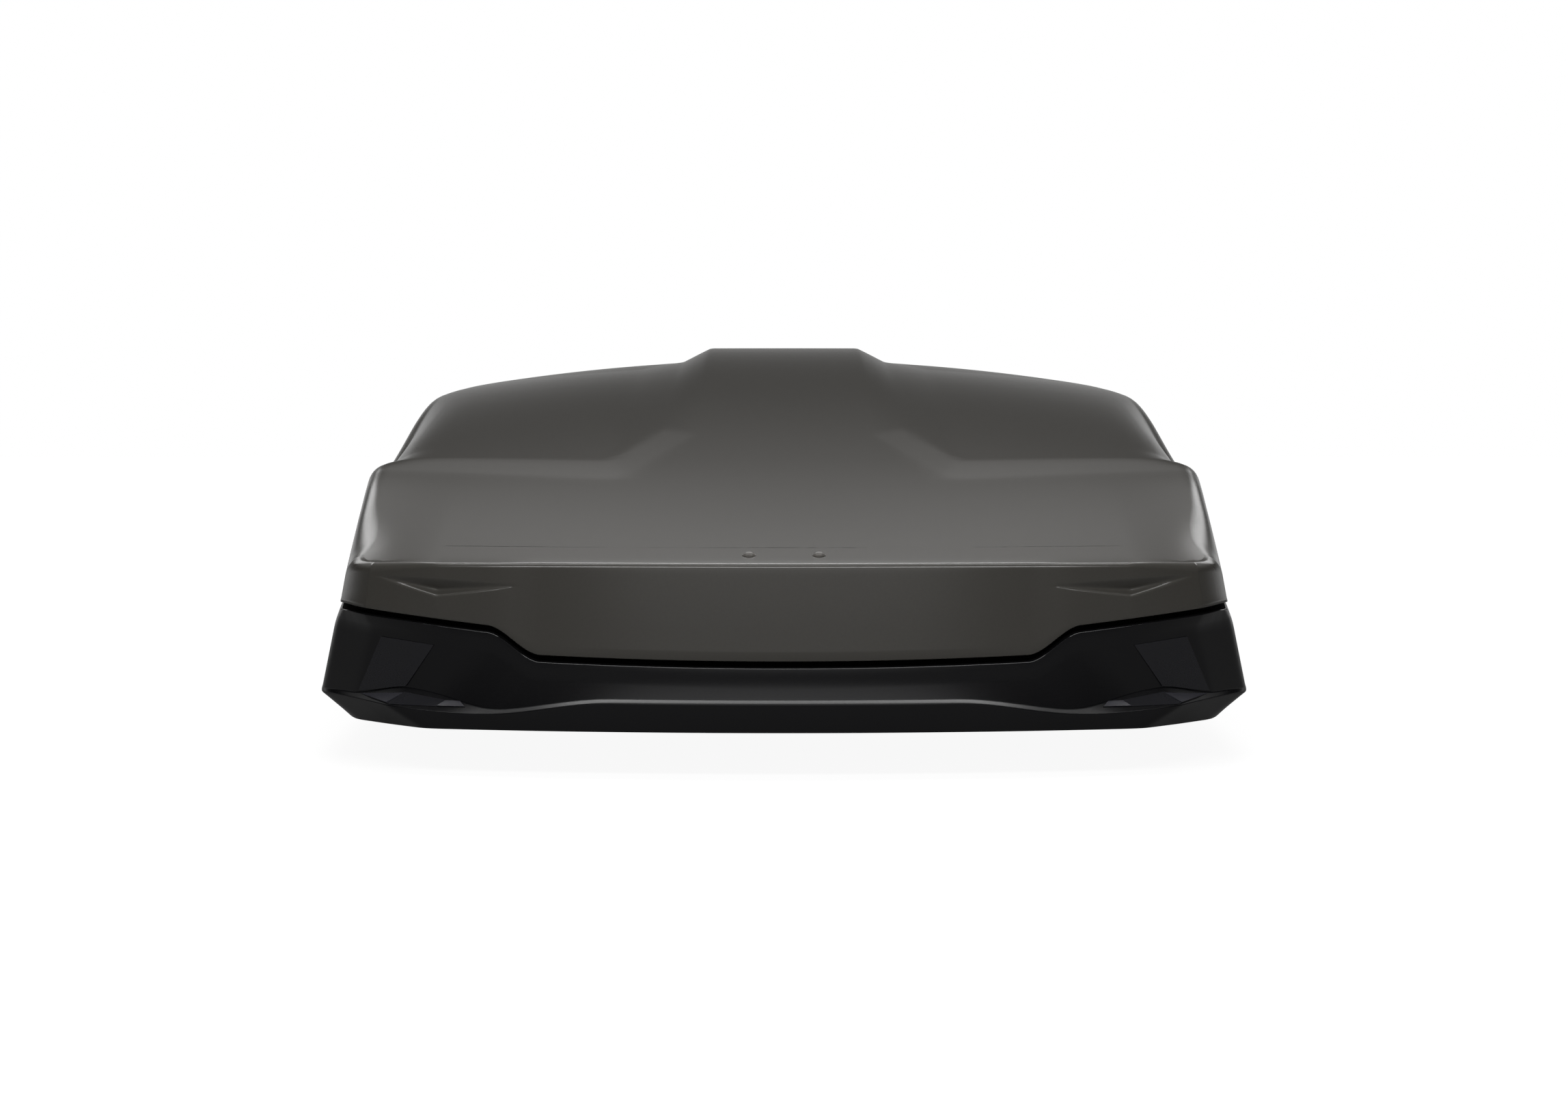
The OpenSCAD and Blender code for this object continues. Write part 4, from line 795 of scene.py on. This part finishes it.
# Vacuum-formed sheet with a fine grain: long highlights with a soft edge, and a warm grey
lid_abs = surface("grained titanium-grey ABS", "#4a4844", .22,
                  grain=(.9, .008), cloud=(2.5, "#474541", .5))
# Vacuum-formed sheet with a gloss cap layer: near black, with clear reflections
base_abs = surface("gloss black ABS", "#08080b", .24, grain=(1.2, .008), cloud=(2.5, "#070709", .5))
# Injection-moulded against polished steel: the smoothest of the plastics. Its colour, a shade lighter than
# the base, is painted reflection for the light the black panels give back
sheen_painted_lamp_abs = surface("polished black ABS panel with painted sheen", "#222226", .2, cloud=(2.5, "#1f1f23", .5))
# Injection-moulded against a satin tool, so the reflection spreads. The dark grey is painted sheen: it
# stands for the light the black facets reflect
sheen_painted_pocket_abs = surface("satin black ABS facet with painted grey sheen", "#3c3c42", .3,
                     grain=(1.2, .008), cloud=(2.5, "#37373d", .5))
# Sheet steel, folded and then zinc-plated: a cool metal with soft, darker clouds
zinc = surface("zinc-plated folded steel", "#a9adb2", .36, metallic=1.0,
               grain=(3, .01), cloud=(18, "#8d9297", .7))
# Pressed steel under an electrophoretic coat: an even, half-dull black
black_rivet = surface("black-coated rivet steel", "#18181b", .38, cloud=(6, "#101012", .6))
# Pressed aluminium under paint: grey heads, a little lighter than the lid
lid_rivet = surface("grey-painted rivet aluminium", "#57544f", .36, cloud=(5, "#4c4945", .6))
# Compression-moulded rubber: dull, with a fine pitted skin
pad_rubber = surface("EPDM pad rubber", "#161616", .82, grain=(.8, .05), cloud=(9, "#1e1e1e", .6))
# Extruded rubber covered in short fibres, which swallow nearly all light: the seam reads black
seal_rubber = surface("flocked black EPDM seal", "#050505", .9, ior=1.2,
                      grain=(.8, .05), cloud=(9, "#080808", .6))
# Injection-moulded with chopped glass, which roughens the skin: a dull, slightly streaky black
nylon = surface("glass-filled black nylon", "#1d1d20", .55, grain=(.7, .03), cloud=(12, "#252528", .5))
# Turned on a lathe and left bright: sharp, light highlights
pin_steel = surface("turned bright steel", "#b9bcc0", .25, metallic=1.0,
                    grain=(.4, .004), cloud=(5, "#a2a5aa", .4))
# Steel under baked powder: black with a soft sheen and a slight orange peel
claw_steel = surface("black powder-coated steel", "#232427", .48,
                     grain=(.9, .03), cloud=(14, "#1b1c1f", .6))
# Injection-moulded grip: a strong red with a soft sheen
grip_red = surface("moulded red polypropylene", "#a8231b", .42,
                   grain=(.8, .02), cloud=(16, "#971d17", .5))
# Extruded and left as it leaves the die: pale, with a soft metal sheen
tube_alu = surface("mill-finish aluminium", "#b4b7bb", .38, metallic=1.0,
                   grain=(2, .006), cloud=(25, "#a0a3a7", .6))
# Drawn wire, hardened and oiled: dark grey metal
spring_wire = surface("oiled spring steel", "#4a4b4e", .32, metallic=1.0,
                      grain=(.6, .01), cloud=(4, "#3a3b3e", .5))
# Injection-moulded: waxy black with a soft sheen
fitting_pom = surface("moulded black POM", "#1a1a1d", .46, grain=(.8, .02), cloud=(14, "#222225", .5))
# Injection-moulded against a satin tool: a shade lighter than its housing
knob_abs = surface("satin dark-grey ABS", "#2a2a2e", .4, grain=(.7, .015), cloud=(14, "#232327", .5))
# Turned and nickel-plated: the brightest metal, with a warm tint
key_metal = surface("nickel-plated brass", "#c9c9c4", .18, metallic=1.0,
                    grain=(.5, .003), cloud=(4, "#b3b3ad", .4))

CLAMPS = ("front_left", "front_right", "rear_left", "rear_right")
dress(["floor_rails", "lock_backplate", "lock_crank", "strikers", "nose_bracket",
       "front_stay_foot", "rear_stay_foot", "front_stay_bracket", "rear_stay_bracket"], zinc)
dress(["floor_rivets", "upstand_rivets"], black_rivet)
dress(["lid_rivets"], lid_rivet)
dress(["seat_pads"], pad_rubber)
dress([c + "_carriage" for c in CLAMPS], nylon)
dress([c + "_jaw_pins" for c in CLAMPS] + ["hinge_pins", "foot_pins", "crown_pins", "front_knee_pin",
                                            "rear_knee_pin"], pin_steel)
dress([c + "_front_jaw" for c in CLAMPS] + [c + "_rear_jaw" for c in CLAMPS]
      + [p + "_arm" for p in ("front_lower", "rear_lower", "front_upper", "rear_upper")]
      + [p + s for p in ("front", "middle", "rear") for s in ("_base_leaf", "_lid_leaf")], claw_steel)
dress([c + "_clamp_knob" for c in CLAMPS], grip_red)
dress(["front_lid_brace", "rear_lid_brace", "locking_bar"], tube_alu)
dress(["front_knee_spring", "rear_knee_spring"], spring_wire)
dress(["lock_housing", "bar_guides"], fitting_pom)
dress(["lock_knob"], knob_abs)
dress(["key_cylinder"], key_metal)
dress(["lid_shell"], lid_abs)
dress(["base_shell", "base_floor"], base_abs)

# ---- shells in place -----------------------------------------------------------------
lid = lid_mesh()
lid.data.materials.append(lid_abs)
finish_edges(lid, SHELL_CRISP)
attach(lid, "lid")
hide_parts("lid_shell")

base = base_mesh()
base.data.materials.append(base_abs)
# Long slots through the base's floor, through which the clamps' jaws reach
RAIL_X, SLOT_Y = 298, (640, 1330)
SLOT_WIDTH, SLOT_LENGTH, CUT_Z, CUT_DEPTH = 30, 344, 2, 20
slot_size = (SLOT_WIDTH * MM, SLOT_LENGTH * MM, CUT_DEPTH * MM)
cut_boxes(base, [(place(side * RAIL_X, y, CUT_Z), slot_size) for side in (-1, 1) for y in SLOT_Y])
finish_edges(base, SHELL_CRISP)
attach(base, "base")
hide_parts("base_shell", "base_floor")

SEAL_EDGE = 2                        # from the base's edge to the seal
SEAL_FLAT, SEAL_UP = .3, .4          # how far it stands off the shoulder and off the upstand
SEAL_UNDER, SEAL_BEHIND = .4, .3     # how deep its back is pressed into them
SEAL_TOP = UPSTAND - 1


def seal_strip():
    """The rubber seal glued round the base's shoulder and up its upstand."""
    top3 = [(p[0], p[1], e[2] - SEAM) for p, e in zip(edge_ring, edge3)]
    front, back = SHOULDER - SEAL_UP, SHOULDER + SEAL_BEHIND
    section = [(SEAL_EDGE, SEAL_FLAT), (front, SEAL_FLAT), (front, SEAL_TOP),
               (back, SEAL_TOP), (back, -SEAL_UNDER), (SEAL_EDGE, -SEAL_UNDER)]
    rings = [drop_in(top3, depth, -rise) for depth, rise in section]
    faces = []
    for r in range(len(section)):
        here, there = r * RING_N, (r + 1) % len(section) * RING_N
        for k in range(RING_N):
            after = (k + 1) % RING_N
            faces.append((here + k, here + after, there + after, there + k))
    bpy.ops.object.select_all(action="DESELECT")
    strip = build_mesh("seal_strip", [p for r in rings for p in r], faces)
    strip.data.materials.append(seal_rubber)
    finish_edges(strip, TRIM_CRISP)
    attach(strip, "base")


BEFORE_NOSE = -200                   # from here the plates' points are dropped onto the base
PLATE_SUNK = 1.0                     # a plate's back lies this deep in the base's face


def trim_plate(name, corners, mat, steps=10):
    """A moulded plate on both sides of the base's nose; its corners are (x, z, height off the base)."""
    low_left, low_right, high_right, high_left = corners
    grid = []
    for j in range(steps + 1):
        for i in range(steps + 1):
            low = [lerp(a, b, i / steps) for a, b in zip(low_left, low_right)]
            high = [lerp(a, b, i / steps) for a, b in zip(high_left, high_right)]
            grid.append([lerp(a, b, j / steps) for a, b in zip(low, high)])
    edge = list(range(steps)) + [j * (steps + 1) + steps for j in range(steps)]
    edge += [(steps + 1) ** 2 - 1 - i for i in edge]
    for side, suffix in ((-1, "_left"), (1, "_right")):
        points = []
        for sunk in (False, True):
            for x, z, height in grid:
                spot, facing = base.ray_cast(place(side * x, BEFORE_NOSE, z), Vector((0, 1, 0)))[1:3]
                spot = spot + facing * (-PLATE_SUNK if sunk else height) * MM
                points.append((spot.x / MM, (spot.y - NOSE_Y) / MM, (spot.z - UNDERSIDE_Z) / MM))
        faces = []
        for first in (0, (steps + 1) ** 2):
            for j in range(steps):
                for i in range(steps):
                    a = first + j * (steps + 1) + i
                    faces.append((a, a + 1, a + steps + 2, a + steps + 1))
        for a, b in zip(edge, edge[1:] + edge[:1]):
            faces.append((a, b, b + (steps + 1) ** 2, a + (steps + 1) ** 2))
        bpy.ops.object.select_all(action="DESELECT")
        plate = build_mesh(name + suffix, points, faces)
        plate.data.materials.append(mat)
        finish_edges(plate, TRIM_CRISP)
        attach(plate, "base")


seal_strip()
# The lamp-like panels and the three facets of the pocket under each, all lighter than the base by painted
# sheen
trim_plate("lamp_panel", [(415, 31, .9), (365, 39, 1.1), (336, 80.5, .8), (390, 86, .8)], sheen_painted_lamp_abs)
trim_plate("pocket_outer", [(402, 26, 1.8), (383, 23, 1.8), (367, 33, .4), (413, 28.5, .4)], sheen_painted_pocket_abs)
trim_plate("pocket_middle", [(383, 22.5, .5), (333, 21.5, .5), (326, 27, 1.4), (366, 33, 1.4)], sheen_painted_lamp_abs)
trim_plate("pocket_inner", [(333, 21.5, 1.8), (306, 21.5, 1.8), (311, 27, .4), (326, 27, .4)], sheen_painted_pocket_abs)

# ---- studio ------------------------------------------------------------------------------
FLOOR_SIZE, FLOOR_GAP = 16, .0005    # metres; the gap keeps the floor clear of the claws
FLOOR_GREY = .15                     # what the matt floor gives back of the lamps' light
NEAR, FAR = 1.3, 2.4                 # metres from the middle, over which the floor turns white
NEAR_WHITE = .93                     # a little under white round the object, where its shadow falls
FLOOR_MIRRORED = .05                 # the faint glow that the floor has in reflections


def backdrop():
    """A floor that is white to the camera, takes the shadow and throws hardly any light."""
    bpy.ops.object.select_all(action="DESELECT")
    bpy.ops.mesh.primitive_plane_add(size=FLOOR_SIZE, location=(0, 0, box_low.z - FLOOR_GAP))
    floor = bpy.context.object
    floor.name = "studio_floor"
    bpy.ops.object.transform_apply(location=True, rotation=True, scale=True)
    mat = bpy.data.materials.new("white studio floor")
    mat.use_nodes = True
    tree = mat.node_tree
    out = tree.nodes["Material Output"]
    tree.nodes.remove(tree.nodes["Principled BSDF"])
    ray = add(tree, "ShaderNodeLightPath")
    matt = add(tree, "ShaderNodeBsdfDiffuse", {"Color": (FLOOR_GREY, FLOOR_GREY, FLOOR_GREY, 1)})
    where = add(tree, "ShaderNodeTexCoord").outputs["Object"]
    away = add(tree, "ShaderNodeVectorMath", {"operation": "LENGTH"}, {0: where}).outputs["Value"]
    white = add(tree, "ShaderNodeMapRange",
                {"From Min": NEAR, "From Max": FAR, "To Min": NEAR_WHITE, "To Max": 1.0},
                {"Value": away}).outputs["Result"]
    mirrored = add(tree, "ShaderNodeMath", {"operation": "MULTIPLY"}, {0: ray.outputs["Is Glossy Ray"]})
    mirrored.inputs[1].default_value = FLOOR_MIRRORED
    shown = add(tree, "ShaderNodeMath", {"operation": "MULTIPLY_ADD"},
                {0: ray.outputs["Is Camera Ray"], 1: white, 2: mirrored.outputs[0]})
    glow = add(tree, "ShaderNodeEmission", {"Color": (1, 1, 1, 1)}, {"Strength": shown.outputs[0]})
    both = add(tree, "ShaderNodeAddShader", None, {0: matt.outputs[0], 1: glow.outputs[0]})
    tree.links.new(both.outputs[0], out.inputs["Surface"])
    floor.data.materials.append(mat)


# Height of a direction above the horizon, as its sine, and how bright the room is there
ROOM = [(0, .8), (.05, .7), (.1, .45), (.15, .12), (.22, .02), (.32, .02),
        (.4, .1), (.48, .3), (.56, .45), (.64, .3), (.75, .25), (1, .2)]


def world_light():
    """Studio room: bright at the horizon, dark just above it, paler higher up, dim towards the front."""
    world = bpy.data.worlds.new("studio")
    bpy.context.scene.world = world
    world.use_nodes = True
    tree = world.node_tree
    tree.nodes.clear()
    ray = add(tree, "ShaderNodeLightPath")
    # seen directly, or through something clear, the room is plain white
    seen = add(tree, "ShaderNodeMath", {"operation": "MAXIMUM"},
               {0: ray.outputs["Is Camera Ray"], 1: ray.outputs["Is Transmission Ray"]})
    where = add(tree, "ShaderNodeTexCoord")
    parts = add(tree, "ShaderNodeSeparateXYZ", None, {"Vector": where.outputs["Generated"]})
    ramp = add(tree, "ShaderNodeValToRGB", None, {"Fac": parts.outputs["Z"]})
    stops = ramp.color_ramp.elements
    stops = [stops[0], stops[1]] + [stops.new(height) for height, level in ROOM[2:]]
    for (height, level), stop in zip(ROOM, stops):
        stop.position, stop.color = height, (level, level, level, 1)
    depth = add(tree, "ShaderNodeMapRange", {"From Min": .1, "From Max": .6, "To Min": .15, "To Max": 1.0},
                {"Value": parts.outputs["Y"]})
    room = add(tree, "ShaderNodeBackground", None,
               {"Color": ramp.outputs["Color"], "Strength": depth.outputs["Result"]})
    white = add(tree, "ShaderNodeBackground", {"Color": (1, 1, 1, 1), "Strength": 1.0})
    mix = add(tree, "ShaderNodeMixShader", None,
              {0: seen.outputs[0], 1: room.outputs[0], 2: white.outputs[0]})
    out = add(tree, "ShaderNodeOutputWorld")
    tree.links.new(mix.outputs[0], out.inputs["Surface"])


def lamp(name, at, aim, width, height, watts):
    """A soft box of that width and height in metres, turned to a point and hidden from the camera."""
    data = bpy.data.lights.new(name, "AREA")
    data.shape, data.size, data.size_y, data.energy = "RECTANGLE", width, height, watts
    obj = bpy.data.objects.new(name, data)
    bpy.context.scene.collection.objects.link(obj)
    obj.location = at
    obj.rotation_euler = (Vector(aim) - Vector(at)).to_track_quat("-Z", "Y").to_euler()
    obj.visible_camera = False


backdrop()
world_light()
# a weak card high behind: a faint sheen on the front of the hood
lamp("back_card", (0, 2.6, 3.3), (0, -.9, .2), 1.6, .8, 5)
# strips overhead: plain light on the lid's top, and the lines of its front crease and brows
lamp("overhead_strip", (0, 1.1, 2.3), (0, -.9, .2), 2.3, .4, 19)
lamp("top_strip", (0, -.8, 2.5), (0, -.8, .2), 2.3, .4, 16)
# a strip in front and above: the lid's wall, and the bright line along the base's lip
lamp("front_strip", (0, -2.5, 1.55), (0, -.95, .1), 2.4, .4, 26)
# a wide, weak box low in front: a soft gradient down the lid's wall and the base's face
lamp("low_front", (0, -4.1, .95), (0, -.95, .1), 2.2, 1.2, 8)
# small boxes behind, to the left and right: the bright edges of the hood's sides
lamp("left_rim", (-1.6, 1.85, 1.44), (-.44, -.7, .22), .9, .6, 3.6)
lamp("right_rim", (1.6, 1.85, 1.44), (.44, -.7, .22), .9, .6, 3.6)

LENS, SENSOR = 85.1, 36              # millimetres
CAMERA_AWAY, CAMERA_HEIGHT = 3500, 382   # before the nose line and above the underside
CAMERA_DOWN = 3.47                   # degrees below level
camera_data = bpy.data.cameras.new("camera")
camera_data.lens, camera_data.sensor_width = LENS, SENSOR
camera = bpy.data.objects.new("camera", camera_data)
bpy.context.scene.collection.objects.link(camera)
camera.location = place(0, -CAMERA_AWAY, CAMERA_HEIGHT)
camera.rotation_euler = (math.radians(90 - CAMERA_DOWN), 0, 0)
bpy.context.scene.camera = camera
bpy.context.scene.view_settings.view_transform = "Standard"
